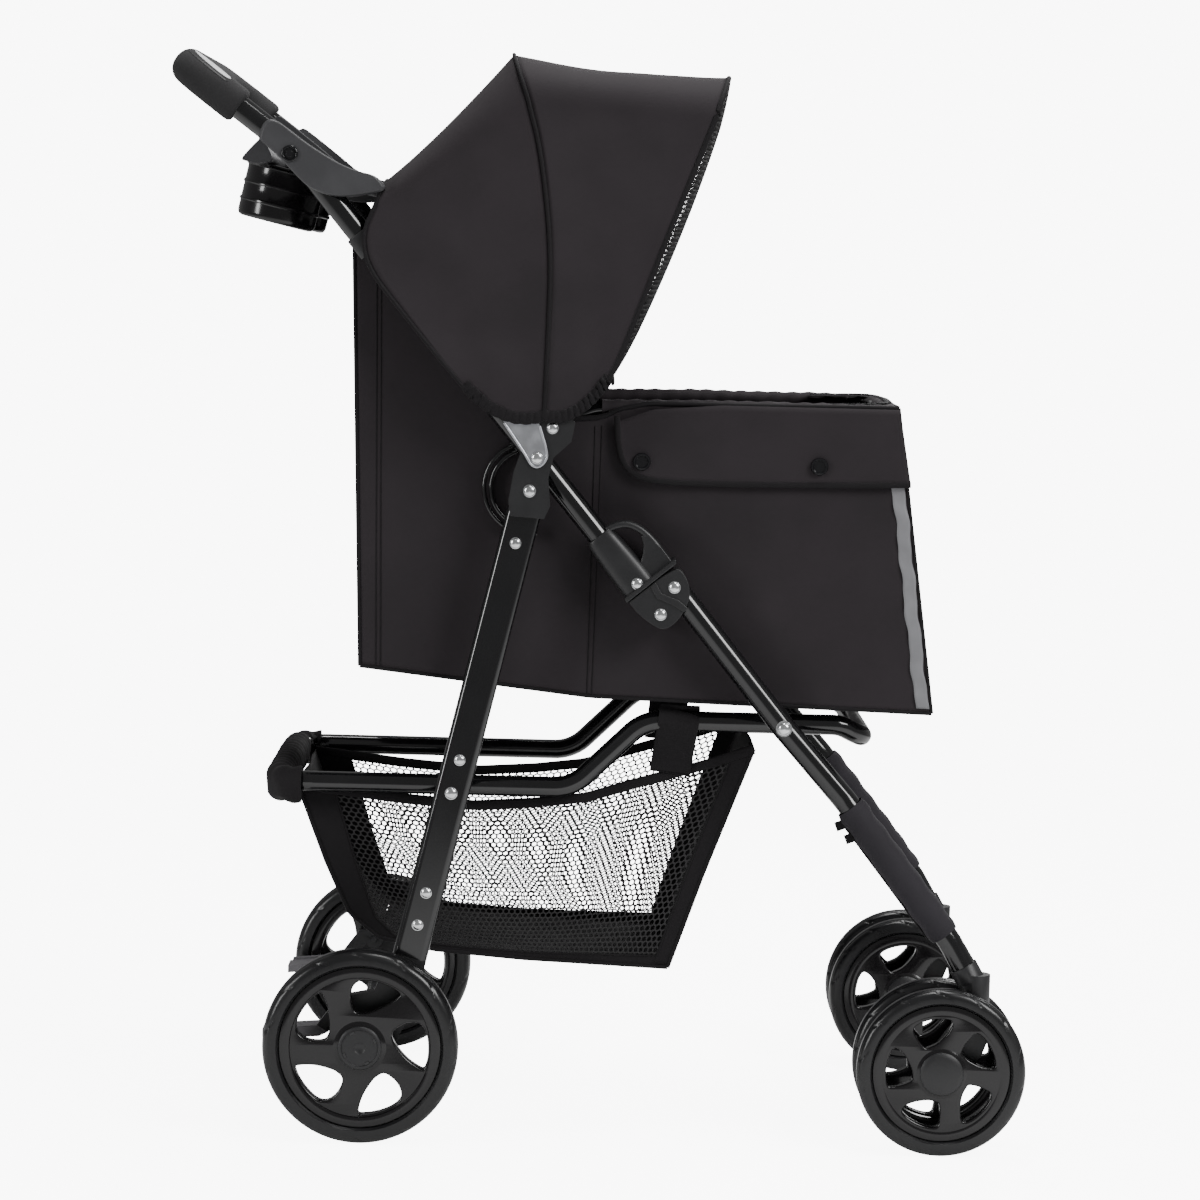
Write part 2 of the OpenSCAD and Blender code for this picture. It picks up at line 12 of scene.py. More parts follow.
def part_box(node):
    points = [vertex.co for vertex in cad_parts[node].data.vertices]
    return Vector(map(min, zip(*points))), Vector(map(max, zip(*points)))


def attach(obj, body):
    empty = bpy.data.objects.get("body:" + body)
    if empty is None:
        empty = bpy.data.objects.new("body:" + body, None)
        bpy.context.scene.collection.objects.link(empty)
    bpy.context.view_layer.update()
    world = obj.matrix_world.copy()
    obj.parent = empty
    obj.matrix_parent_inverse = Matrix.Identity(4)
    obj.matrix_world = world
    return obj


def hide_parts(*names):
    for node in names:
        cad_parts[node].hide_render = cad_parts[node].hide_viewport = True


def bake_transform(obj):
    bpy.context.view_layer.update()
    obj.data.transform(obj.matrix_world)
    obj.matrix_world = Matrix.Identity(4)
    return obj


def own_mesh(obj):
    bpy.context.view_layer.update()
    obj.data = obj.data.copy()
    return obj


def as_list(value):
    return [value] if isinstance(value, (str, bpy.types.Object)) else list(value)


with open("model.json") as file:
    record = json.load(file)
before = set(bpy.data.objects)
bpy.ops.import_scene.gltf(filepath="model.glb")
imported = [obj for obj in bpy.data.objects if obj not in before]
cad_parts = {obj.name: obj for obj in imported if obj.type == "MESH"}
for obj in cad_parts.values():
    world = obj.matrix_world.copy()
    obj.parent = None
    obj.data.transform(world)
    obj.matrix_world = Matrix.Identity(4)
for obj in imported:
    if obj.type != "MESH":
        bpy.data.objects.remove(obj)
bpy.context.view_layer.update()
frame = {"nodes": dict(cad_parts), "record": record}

MM = 0.001
SIDES = (("left", 1), ("right", -1))

# ---- places read from the frame; side-view places are (x, z) in mm from the rear axle and the floor ----


def middle(node):
    low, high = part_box(node)
    return (low + high) / 2


REAR_AXLE = middle("rear_tyre_left")
REAR_X = REAR_AXLE.x


def at(x, z, y=0.0):
    """A point in the row frame from millimetres: x from the rear axle, z from the floor, y to the left."""
    return np.array([REAR_X + x * MM, y * MM, z * MM])


def top_y(node):
    """The outer face of a left or two-sided node, in mm."""
    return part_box(node)[1].y / MM


LEG_OUT = top_y("rear_leg_left")
PLATE_OUT = top_y("hub_plate_left")
BRACKET_OUT = top_y("canopy_brackets")
CHEEK_OUT = top_y("fold_bracket_left")
CABIN_W = top_y("cabin_shell")
BASKET_W = top_y("basket")
HEM_W = top_y("canopy_rear")
TUBE_Y = middle("handle_tube_left").y / MM
LOCK = (250.9, 464)
HANDLE_BEND = (-76.5, 857.5)
HANDLE_CORNER = (-168, 925.5)

_tube = np.array(HANDLE_BEND) - np.array(LOCK)
UP = _tube / np.linalg.norm(_tube)
OUT = np.array([UP[1], -UP[0]])


def on_tube(s, o, y):
    """A point s mm up the handle tube from the fold lock and o mm out in front of it."""
    x, z = np.array(LOCK) + s * UP + o * OUT
    return at(x, z, y)


# ---- materials ----


MATERIALS = {}


def new_material(name, colour, rough, **inputs):
    """A principled material, kept in MATERIALS; returns it with its shader node."""
    m = bpy.data.materials.new(name)
    MATERIALS[name] = m
    m.use_nodes = True
    shader = m.node_tree.nodes["Principled BSDF"]
    shader.inputs["Base Color"].default_value = (*colour, 1)
    shader.inputs["Roughness"].default_value = rough
    for key, value in inputs.items():
        shader.inputs[key.replace("_", " ")].default_value = value
    m.diffuse_color = (*colour, 1)
    return m, shader


def node(m, kind, **values):
    n = m.node_tree.nodes.new(kind)
    for key, value in values.items():
        if key in n.inputs:
            n.inputs[key].default_value = value
        else:
            setattr(n, key, value)
    return n


def mottle(m, shader, colour, scale, share, rough_low, rough_high):
    """Slow noise over the surface: a little lighter and darker, and smoother and rougher."""
    link = m.node_tree.links.new
    place = node(m, "ShaderNodeTexCoord")
    cloud = node(m, "ShaderNodeTexNoise", Scale=scale, Detail=6.0)
    link(place.outputs["Object"], cloud.inputs["Vector"])
    ramp = node(m, "ShaderNodeValToRGB")
    ramp.color_ramp.elements[0].position = 0.35
    ramp.color_ramp.elements[1].position = 0.65
    ramp.color_ramp.elements[0].color = (*[c * (1 - share) for c in colour], 1)
    ramp.color_ramp.elements[1].color = (*[c * (1 + share) for c in colour], 1)
    link(cloud.outputs["Fac"], ramp.inputs["Fac"])
    link(ramp.outputs["Color"], shader.inputs["Base Color"])
    spread = node(m, "ShaderNodeMapRange")
    spread.inputs["To Min"].default_value = rough_low
    spread.inputs["To Max"].default_value = rough_high
    link(cloud.outputs["Fac"], spread.inputs["Value"])
    link(spread.outputs["Result"], shader.inputs["Roughness"])
    return place


def bump(m, shader, height, strength, distance):
    b = node(m, "ShaderNodeBump", Strength=strength, Distance=distance)
    m.node_tree.links.new(height, b.inputs["Height"])
    m.node_tree.links.new(b.outputs["Normal"], shader.inputs["Normal"])


def cloth(name, colour, pitch, share=0.12, strength=0.22, sheen=0.03):
    """Woven cloth: threads along the three axes, of which a surface shows two, with slow colour variation."""
    m, shader = new_material(name, colour, 0.8, Sheen_Weight=sheen, Sheen_Roughness=0.5, Specular_IOR_Level=0.22)
    link = m.node_tree.links.new
    place = mottle(m, shader, colour, 14.0, share, 0.68, 0.88)
    height = None
    for axis in "XYZ":
        wave = node(m, "ShaderNodeTexWave", bands_direction=axis, Scale=pi / (20 * pitch) * 2, Distortion=0.4)
        link(place.outputs["Object"], wave.inputs["Vector"])
        if height is None:
            height = wave.outputs["Fac"]
            continue
        total = node(m, "ShaderNodeMath", operation="MULTIPLY")
        link(height, total.inputs[0])
        link(wave.outputs["Fac"], total.inputs[1])
        height = total.outputs[0]
    bump(m, shader, height, strength, 0.0004)


def moulded(name, colour, low, high, grain, strength, share=0.1, cloud=35.0, detail=3.0, depth=0.0003, **inputs):
    """Plastic, rubber, paint or metal: fine grain in the bump, and roughness that varies from low to high."""
    m, shader = new_material(name, colour, (low + high) / 2, **inputs)
    place = mottle(m, shader, colour, cloud, share, low, high)
    fine = node(m, "ShaderNodeTexNoise", Scale=grain, Detail=detail)
    m.node_tree.links.new(place.outputs["Object"], fine.inputs["Vector"])
    bump(m, shader, fine.outputs["Fac"], strength, depth)


PLATED = {"strength": 0.1, "share": 0.06, "cloud": 120.0, "detail": 4.0, "depth": 0.0002, "Metallic": 1.0}

moulded("black_paint", (0.004, 0.004, 0.0045), 0.08, 0.2, 300, 0.03, Coat_Weight=0.4, Coat_Roughness=0.06)
moulded("steel", (0.78, 0.79, 0.8), 0.12, 0.3, 600, **PLATED)
moulded("galvanised", (0.55, 0.56, 0.59), 0.28, 0.5, 180, **PLATED)
moulded("plastic_dark", (0.012, 0.012, 0.013), 0.36, 0.5, 1400, 0.18)
moulded("plastic_tray", (0.04, 0.04, 0.043), 0.45, 0.6, 1600, 0.22)
moulded("plastic_gloss", (0.005, 0.0045, 0.005), 0.1, 0.22, 500, 0.04)
moulded("plastic_grey", (0.16, 0.155, 0.165), 0.4, 0.6, 1200, 0.2)
moulded("foam", (0.013, 0.0125, 0.0135), 0.8, 0.95, 2600, 0.5)
moulded("tyre", (0.006, 0.006, 0.0066), 0.2, 0.4, 700, 0.1)
cloth("polyester", (0.0205, 0.0168, 0.0192), 0.0009)
cloth("basket_cloth", (0.0075, 0.0064, 0.0074), 0.0009)
cloth("sleeve_cloth", (0.022, 0.020, 0.024), 0.001)
cloth("binding_cloth", (0.007, 0.006, 0.007), 0.0012, 0.15, 0.5)
moulded("mesh_thread", (0.008, 0.007, 0.008), 0.5, 0.7, 2000, 0.2)
moulded("reflective_tape", (0.19, 0.19, 0.2), 0.35, 0.55, 1800, 0.3)
moulded("grip_inlay", (0.62, 0.62, 0.63), 0.35, 0.5, 900, 0.1)
moulded("snap_enamel", (0.006, 0.006, 0.007), 0.08, 0.16, 300, 0.03)

# ---- meshes ----


def bevelled(o, width, segments, angle):
    """Breaks the hard edges of an object; width in mm, angle in degrees."""
    edge = o.modifiers.new("edges", "BEVEL")
    edge.width = width * MM
    edge.segments = segments
    edge.limit_method = "ANGLE"
    edge.angle_limit = radians(angle)
    return edge


class Form:
    """Vertices and faces of one piece, added part by part, in the row frame in metres."""

    def __init__(self):
        self.verts = []
        self.faces = []

    def add(self, verts, faces):
        k = len(self.verts)
        self.verts.extend(tuple(float(c) for c in v) for v in verts)
        self.faces.extend(tuple(i + k for i in f) for f in faces)
        return self

    def grid(self, points, close_u=False, close_v=False, caps=False):
        """A surface through rows of points."""
        points = np.asarray(points, float)
        nu, nv = points.shape[:2]
        faces = []
        for i in range(nu if close_u else nu - 1):
            for j in range(nv if close_v else nv - 1):
                a, b = i, (i + 1) % nu
                c, d = j, (j + 1) % nv
                faces.append((a * nv + c, b * nv + c, b * nv + d, a * nv + d))
        if caps:
            faces.append(tuple(range(nv - 1, -1, -1)))
            faces.append(tuple((nu - 1) * nv + j for j in range(nv)))
        return self.add(points.reshape(-1, 3), faces)

    def sweep(self, path, section, up=(0, 1, 0), scale=None):
        """A section (mm, across and along up) carried along a path of points in metres."""
        path = np.asarray(path, float)
        last = len(path) - 1
        rows = []
        for i, p in enumerate(path):
            t = path[min(i + 1, last)] - path[max(i - 1, 0)]
            t = t / max(np.linalg.norm(t), 1e-12)
            u = np.array(up, float)
            u = u - (u @ t) * t
            u = u / np.linalg.norm(u)
            side = np.cross(t, u)
            k = scale(i / last) if scale else 1.0
            rows.append([p + MM * k * (a * side + b * u) for a, b in section])
        return self.grid(rows, close_v=True, caps=True)

    def lathe(self, profile, centre, n=48, shift=None):
        """A profile of (radius, along) in mm turned round a sideways axis through centre."""

        def point(a, i):
            r, y = shift(a, i, *profile[i]) if shift else profile[i]
            return np.asarray(centre, float) + MM * np.array((r * cos(a), y, r * sin(a)))

        return self.grid(surface(turns(n), range(len(profile)), point), close_u=True)

    def plate(self, outline, y0, y1, place=at):
        """A side-view outline given a thickness across the width."""
        n = len(outline)
        low = [place(a, b, y0) for a, b in outline]
        high = [place(a, b, y1) for a, b in outline]
        faces = [tuple(range(n)), tuple(range(2 * n - 1, n - 1, -1))]
        faces += [(i, i + n, (i + 1) % n + n, (i + 1) % n) for i in range(n)]
        return self.add(low + high, faces)

    def both(self):
        """This form and its mirror image on the other side as one."""
        k = len(self.verts)
        self.verts += [(x, -y, z) for x, y, z in self.verts]
        self.faces += [tuple(i + k for i in reversed(f)) for f in self.faces]
        return self


def piece(name, form, look, body, slot=None, angle=42, bevel=0.0, thick=0.0):
    """A new object from a form, in the material of its look; slot is not used. body is None where it comes later or not
    at all.
    """
    mesh = bpy.data.meshes.new(name)
    mesh.from_pydata(form.verts, [], form.faces)
    mesh.materials.append(MATERIALS[look])
    bm = bmesh.new()
    bm.from_mesh(mesh)
    bmesh.ops.remove_doubles(bm, verts=bm.verts, dist=1e-6)
    if not thick:
        bmesh.ops.recalc_face_normals(bm, faces=bm.faces)
    bm.to_mesh(mesh)
    bm.free()
    mesh.validate()
    mesh.polygons.foreach_set("use_smooth", [True] * len(mesh.polygons))
    mesh.set_sharp_from_angle(angle=radians(angle))
    mesh.update()
    o = bpy.data.objects.new(name, mesh)
    bpy.context.scene.collection.objects.link(o)
    if thick:
        shell = o.modifiers.new("thickness", "SOLIDIFY")
        shell.thickness = thick * MM
        shell.offset = 0
    if bevel:
        bevelled(o, bevel, 3, 32).harden_normals = True
    if body:
        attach(o, body)
    return o


def clamp(value):
    return min(1.0, max(0.0, value))


def turns(n):
    """n angles evenly round a circle."""
    return [2 * pi * i / n for i in range(n)]


def circle(r, n=20):
    return [(r * cos(t), r * sin(t)) for t in turns(n)]


def oval(a, b, power=2.0, n=32):
    """A rounded rectangle or ellipse of half sizes a and b."""

    def share(value):
        return copysign(abs(value) ** (2 / power), value)

    return [(a * share(cos(t)), b * share(sin(t))) for t in turns(n)]


def resample(points, n):
    """n points evenly spaced along a polyline."""
    points = np.asarray(points, float)
    steps = np.linalg.norm(np.diff(points, axis=0), axis=1)
    along = np.concatenate([[0], np.cumsum(steps)])
    goal = np.linspace(0, along[-1], n)
    return np.stack([np.interp(goal, along, points[:, k]) for k in range(points.shape[1])], 1)


def smooth_path(points, n):
    """n points along a rounded curve through a few points."""
    p = np.asarray(points, float)
    for _ in range(3):
        q = [p[0]]
        for a, b in zip(p[:-1], p[1:]):
            q += [0.75 * a + 0.25 * b, 0.25 * a + 0.75 * b]
        q.append(p[-1])
        p = np.array(q)
    return resample(p, n)


def rounded(points, n):
    """A closed outline through a few points, rounded; n is one more than the points it has."""
    return smooth_path(points + points[:1], n)[:-1]


def wobble(p, scale, seed=0.0):
    """Smooth noise of about -1 to 1 at a point in metres."""
    return noise.noise(Vector((p[0] * scale + seed, p[1] * scale - seed, p[2] * scale + 2 * seed)))


def surface(us, vs, point):
    """Rows of points of a surface, point(u, v) over both lists."""
    return np.array([[point(u, v) for v in vs] for u in us])


def length_of(points):
    return float(np.linalg.norm(np.diff(np.asarray(points), axis=0), axis=1).sum())


def area_of(points):
    """The area of a surface through rows of points."""
    p = np.asarray(points, float)
    a = np.cross(p[1:, :-1] - p[:-1, :-1], p[:-1, 1:] - p[:-1, :-1])
    b = np.cross(p[1:, 1:] - p[1:, :-1], p[1:, 1:] - p[:-1, 1:])
    return float((np.linalg.norm(a, axis=2) + np.linalg.norm(b, axis=2)).sum() / 2)


def declare(o, points, rests_on):
    """Works out the width, height and area of a cloth made from one grid of points; they are not kept."""
    p = np.asarray(points, float)
    width = max(length_of(p[i]) for i in range(0, len(p), max(1, len(p) // 8)))
    height = max(length_of(p[:, j]) for j in range(0, p.shape[1], max(1, p.shape[1] // 8)))
    area = area_of(p)
    height = max(height, area / width * 1.001)
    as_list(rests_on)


# ---- CAD nodes that stay: their finish, and broken edges on the hard ones ----

BEVELLED = {"plastic_dark": 0.8, "plastic_grey": 1.2, "galvanised": 0.3, "plastic_gloss": 0.5, "plastic_tray": 0.8,
            "steel": 0.4}


def finish_cad_nodes():
    slots = {r["node"]: r["material_slot"] for r in frame["record"]["subparts"]}
    for name, o in frame["nodes"].items():
        key = slots[name]
        o.data.materials.clear()
        o.data.materials.append(MATERIALS[key])
        if key == "plastic_grey":
            o.data.materials.append(MATERIALS["plastic_dark"])
            for face in o.data.polygons:
                face.material_index = int((o.matrix_world @ face.center).x > REAR_X - 0.036)
        if key in BEVELLED:
            weld = o.modifiers.new("weld", "WELD")
            weld.merge_threshold = 0.00002
            bevelled(o, BEVELLED[key], 2, 35)


# ---- wheels ----

TYRE_GROOVES = 14


def make_tyre(name, node_name, body, width, radius, depth):
    """A rounded, glossy tyre with curved grooves moulded into its shoulders and two lines round its tread."""
    half = width / 2
    inner = radius - depth
    profile = [(inner, -half + 3)]
    for i in range(27):
        a = pi * (i / 26) - pi / 2
        r = inner + 2 + (depth - 2) * abs(cos(a)) ** 0.55
        profile.append((r, half * copysign(abs(sin(a)) ** 0.75, sin(a))))
    profile.append((inner, half - 3))
    last = len(profile) - 1

    def shift(angle, i, r, y):
        across = 2 * i / last - 1
        shoulder = abs(across)
        if 0.3 < shoulder < 0.85:
            bend = 0.16 * ((shoulder - 0.3) / 0.55) ** 2 + (0.11 if across < 0 else 0)
            phase = (angle * TYRE_GROOVES / (2 * pi) + bend * 3) % 1
            near = min(phase, 1 - phase) / 0.055
            fade = sin(pi * (shoulder - 0.3) / 0.55)
            r -= 2.0 * exp(-near * near) * fade
        if abs(shoulder - 0.22) < 0.03:
            r -= 0.7
        return r, y

    centre = middle(node_name)
    form = Form().lathe(profile, centre, n=280, shift=shift)
    o = piece(name, form, "tyre", body, angle=50)
    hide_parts(node_name)


REAR_WINDOW = [(60, 28), (47, 28.3), (40.5, 33), (40, 45), (45, 55), (52, 60), (62, 61), (74, 61), (84, 61), (92, 60),
               (91.5, 53), (89, 45), (84, 38), (76, 32.5), (67, 29)]
FRONT_WINDOW = [(30, 23.5), (19, 24), (15.5, 30), (16, 41), (19, 48.5), (28, 50), (42, 50), (56, 50), (66, 48.5),
                (67, 41), (62, 33), (51, 26.5), (41, 24)]


def spoked_disc(window, r_out, thick, bevel):
    """A disc with five curved openings, as vertices and faces round the origin, from a filled outline."""
    curve = bpy.data.curves.new("disc", "CURVE")
    curve.dimensions = "2D"
    curve.fill_mode = "BOTH"
    curve.extrude = thick / 2 * MM
    curve.bevel_depth = bevel * MM
    curve.bevel_resolution = 2

    def add(points):
        s = curve.splines.new("POLY")
        s.points.add(len(points) - 1)
        for p, (x, y) in zip(s.points, points):
            p.co = (x * MM, y * MM, 0, 1)
        s.use_cyclic_u = True

    add(circle(r_out, 120))
    loop = np.array([(r * cos(radians(a)), -r * sin(radians(a))) for a, r in window])
    for _ in range(2):
        after = np.roll(loop, -1, axis=0)
        loop = np.stack([0.75 * loop + 0.25 * after, 0.25 * loop + 0.75 * after], 1).reshape(-1, 2)
    for k in range(5):
        turn = radians(72 * k)
        c, s = cos(turn), sin(turn)
        add([(c * x - s * y, s * x + c * y) for x, y in loop])
    o = bpy.data.objects.new("disc", curve)
    bpy.context.scene.collection.objects.link(o)
    bpy.context.view_layer.update()
    mesh = bpy.data.meshes.new_from_object(o.evaluated_get(bpy.context.evaluated_depsgraph_get()))
    verts = [tuple(v.co) for v in mesh.vertices]
    faces = [tuple(p.vertices) for p in mesh.polygons]
    bpy.data.objects.remove(o)
    bpy.data.meshes.remove(mesh)
    bpy.data.curves.remove(curve)
    return verts, faces


def make_rim(name, node_names, body, tyre_node, window, side, r_seat, r_open, width, hub_r, cap_r, slots):
    """A glossy rim: seat ring with a rolled lip, five curved spokes and a hub; side is the way out. Returns its cap."""
    centre = np.array(middle(tyre_node))
    form = Form()
    half = width / 2
    ring = [(r_open, -half + 2), (r_open + 0.8, -half + 0.6), (r_open + 2.5, -half), (r_seat - 2.5, -half),
            (r_seat - 0.6, -half + 0.8), (r_seat, -half + 2.6), (r_seat, half - 2.6), (r_seat - 0.6, half - 0.8),
            (r_seat - 2.5, half), (r_open + 2.5, half), (r_open + 0.8, half - 0.6), (r_open, half - 2),
            (r_open - 0.4, 0), (r_open, -half + 2)]
    form.lathe(ring, centre, n=120)
    verts, faces = spoked_disc(window, r_open + 1.5, width * 0.42, 1.6)
    form.add([centre + np.array([x, z + side * 3.2 * MM, y]) for x, y, z in verts], faces)
    disc_face = side * (3.2 + width * 0.21 + 1.6)
    boss = [(hub_r + 7, disc_face - side * 0.6), (hub_r + 5, disc_face + side * 0.5),
            (hub_r + 2.2, disc_face + side * 1.4), (hub_r, side * half)]
    form.lathe(boss, centre, n=80)
    form.lathe([(4.05, -half), (hub_r, -half), (hub_r + 1, -half + 2), (hub_r + 1, half - 2), (hub_r, half),
                (4.05, half)], centre, n=60)
    o = piece(name, form, "plastic_gloss", body, angle=35)
    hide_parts(*node_names)
    cap = Form()
    face = side * (half + 0.2)
    dome = [(cap_r, face - side * 3), (cap_r, face + side * 1.2), (cap_r - 0.8, face + side * 2)]
    if slots:
        dome += [(cap_r - 3, face + side * 2.3), (cap_r - 3.6, face + side * 1.4), (5, face + side * 1.6),
                 (4.4, face + side * 0.9), (0.01, face + side * 0.9)]
    else:
        dome += [(cap_r * 0.7, face + side * 3), (cap_r * 0.35, face + side * 3.5), (0.01, face + side * 3.6)]
    cap.lathe(dome, centre, n=64)
    c = piece(name.replace("rim", "cap"), cap, "plastic_dark", body, angle=50)
    if slots:
        # The slots are not cut: dark glossy marks raised on the cap's face are painted shade for them.
        slot_shade_marks = Form()
        for k in range(4):
            a = radians(90 * k + 27)
            ux, uz = cos(a), sin(a)
            base = centre + np.array([0, (face + side * 1.5) * MM, 0])
            out = [((cap_r - 4.6 + p) * ux - q * uz, (cap_r - 4.6) * uz + p * uz + q * ux)
                   for p, q in ((-1.2, -2.2), (1.2, -2.2), (1.2, 2.2), (-1.2, 2.2))]
            ends = [[base + MM * np.array([x, y, z]) for x, z in out] for y in (0, side * 0.35)]
            slot_shade_marks.grid(ends, close_v=True, caps=True)
        piece(name.replace("rim", "cap_slot_shades"), slot_shade_marks, "snap_enamel", body, "plastic_dark", bevel=0.15)
    return c


def make_wheels():
    for word, side in SIDES:
        body = "rear_wheel_" + word
        tyre = "rear_tyre_" + word
        make_tyre("tyre_rear_" + word, tyre, body, 28, 85, 14.5)
        cap = make_rim("rim_rear_" + word, ["rear_rim_" + word], body, tyre, REAR_WINDOW, side, 70.5, 60.5, 23,
                       17, 19, True)
        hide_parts("rear_hub_cap_" + word)
        for end, facing in (("outer", side), ("inner", -side)):
            tail = word + "_" + end
            tyre = "front_tyre_" + tail
            make_tyre("tyre_front_" + tail, tyre, "front_wheel_" + tail, 22, 73.5, 13.5)
            make_rim("rim_front_" + tail, ["front_rim_" + tail], "front_wheel_" + tail, tyre, FRONT_WINDOW, facing,
                     60, 50, 18, 16, 19, False)


# ---- rivets ----


def dome_profile(r, h):
    return [(r + 0.5, 0), (r + 0.5, 0.5), (r, 0.6), (r, 0.9), (r * 0.86, h * 0.62), (r * 0.55, h * 0.9),
            (0.01, h)]


def rivets(name, body, places):
    """Bright domed rivets on washers. Each place is ((x, z), y, radius), mirrored to the other side."""
    form = Form()
    for (x, z), y, r in places:
        form.lathe(dome_profile(r, r * 0.62), at(x, z, y), n=28)
    piece(name, form.both(), "steel", body, angle=60)


def make_rivets():
    legs = [((124, 523.4), LEG_OUT, 4.5), ((80.2, 334.1), LEG_OUT, 4.5), ((53.6, 217.4), LEG_OUT, 4.5),
            ((46.8, 189.1), LEG_OUT, 4.5), ((73.4, 305), LEG_OUT, 5)]
    rivets("rivets_rear_legs", "rear_frame", legs)
    rivets("rivets_hub", "handle_frame", [((140.9, 597.7), BRACKET_OUT, 5), ((135.1, 569), PLATE_OUT, 5),
                                          ((153.6, 623.5), PLATE_OUT, 4.6)])
    rivets("rivets_front", "front_legs", [(LOCK, CHEEK_OUT, 4.8), ((262.3, 487.8), CHEEK_OUT, 4.8),
                                          ((360.7, 366.8), TUBE_Y + 12, 5.4)])


# ---- canopy ----


def wall_half(z):
    """The canopy cloth's half width at a height, in mm."""
    return float(np.interp(z, [600, 670, 860, 900], [HEM_W - 1, HEM_W - 1, 173.5, 169.5]))


def bow(side_line, top, corner, n_side=46, n_corner=12, n_top=16):
    """One half of a hoop-shaped line: up the side through (x, z) places, round a corner and across to the middle."""
    side_line = smooth_path(side_line, n_side)
    up = [at(x, z, wall_half(z)) for x, z in side_line]
    last = up[-1]
    over = at(top[0], top[1], wall_half(side_line[-1][1]) - corner)
    centre = np.array([last[0], over[1], last[2]])
    turn = [centre + (last - centre) * cos(t) + (over - centre) * sin(t)
            for t in np.linspace(0, pi / 2, n_corner + 1)[1:]]
    middle_point = at(top[0], top[1], 0)
    across = [over + (middle_point - over) * t for t in np.linspace(0, 1, n_top + 1)[1:]]
    return np.array(up + turn + across)


def whole(half):
    """A half line and its mirror image, from the left over the middle to the right."""
    return np.concatenate([half, (half * np.array([1, -1, 1]))[::-1][1:]])


REAR_BOW = whole(bow([(78, 655), (52, 684), (20, 722), (-8, 756), (-14, 784), (-5, 806)], (5, 832), 40))
MID_BOW = whole(bow([(146, 631), (148, 700), (149, 776), (138, 860), (126, 902)], (112, 943), 44))
FRONT_BOW = whole(bow([(200, 664), (212, 690), (232, 745), (262, 825), (286, 888)], (299, 928), 42))


def hood_panel(first, last, hem_drop, sag, seed):
    """The cloth between two bows: a little slack across the top, drawn in at the sides, with folds near the hem."""
    m = len(first)

    def point(u, j):
        dip = 4 * u * (1 - u)
        s = 1 - abs(2 * j / (m - 1) - 1)
        p = first[j] * (1 - u) + last[j] * u
        side = copysign(1, p[1]) if abs(p[1]) > 1e-6 else 0
        on_top = clamp((s - 0.6) / 0.15)
        loose = (1 - on_top) * clamp((p[2] / MM - 664) / 36)
        drop = hem_drop * exp(-(s / 0.13) ** 2)
        p = p - MM * dip * np.array([0, side * 3.2 * loose, drop + sag * on_top])
        fold = sin(u * 10 + s * 8 + seed) * 1.3 * exp(-(s / 0.4) ** 2)
        push = MM * dip * (fold + wobble(p, 9, seed) * 3.0 + wobble(p, 24, seed) * 1.3) * 0.9
        return p + np.array([0, side * push * loose, push * on_top])

    return surface(np.linspace(0, 1, 26), range(m), point)


def edge_cord(name, line, radius, body, out):
    """A round piping or binding sewn along a line, raised out from the middle of the object by out mm."""
    line = np.array(line)
    raised = line.copy()
    raised[:, 1] += np.sign(line[:, 1]) * MM * out * (np.abs(line[:, 1]) > 0.12)
    raised[:, 2] += MM * out * (line[:, 2] > 0.9)
    cord = Form().sweep(raised, circle(radius, 10), up=(0.3, 0.2, 1))
    piece(name, cord, "binding_cloth", body, "polyester", angle=60)


def hem_band(form, panel):
    """The wide binding sewn over the canopy's hem on both sides, gathered a little."""
    for j, side in ((0, 1), (panel.shape[1] - 1, -1)):
        line = resample(panel[:, j], 60)
        for i, p in enumerate(line):
            line[i] = p + MM * np.array([0, side * (0.5 + 0.5 * sin(i * 1.3)), 3.2 + 0.4 * sin(i * 0.9)])
        form.sweep(line, oval(1.5, 5.2, 3, 14), up=(0, 0, 1))


def make_canopy():
    """The two cloth panels between the hoops with their hems, and the piping along the hoops."""
    panels = (("rear", (REAR_BOW, MID_BOW, 12, 5, 1.3), ("handle_frame", "canopy_mid"), (35, 748), (144, 780),
               ["mid_hoop", "handle_tube_left", "handle_tube_right"]),
              ("front", (MID_BOW, FRONT_BOW, 12, 4, 4.1), ("canopy_mid", "canopy_lead"), (144, 780), (250, 805),
               ["mid_hoop", "front_hoop"]))
    for word, shape, bodies, start, end, rests_on in panels:
        panel = hood_panel(*shape)
        o = piece(f"canopy_{word}_cloth", Form().grid(panel), "polyester", None, angle=180, thick=1.1)
        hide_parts("canopy_" + word)
        trim = Form()
        hem_band(trim, panel)
        hem = piece(f"canopy_{word}_hem", trim, "binding_cloth", None, "polyester", angle=60)
        for cloth_piece in (o, hem):
            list(bodies)
            tuple(at(*start))
            tuple(at(*end))
            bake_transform(cloth_piece)
        declare(o, panel, rests_on)
    edge_cord("canopy_mid_piping", MID_BOW, 1.7, "canopy_mid", 0.9)
    edge_cord("canopy_front_binding", FRONT_BOW, 2.2, "canopy_lead", 0.2)
    edge_cord("canopy_rear_binding", REAR_BOW, 1.8, "handle_frame", 0.0)


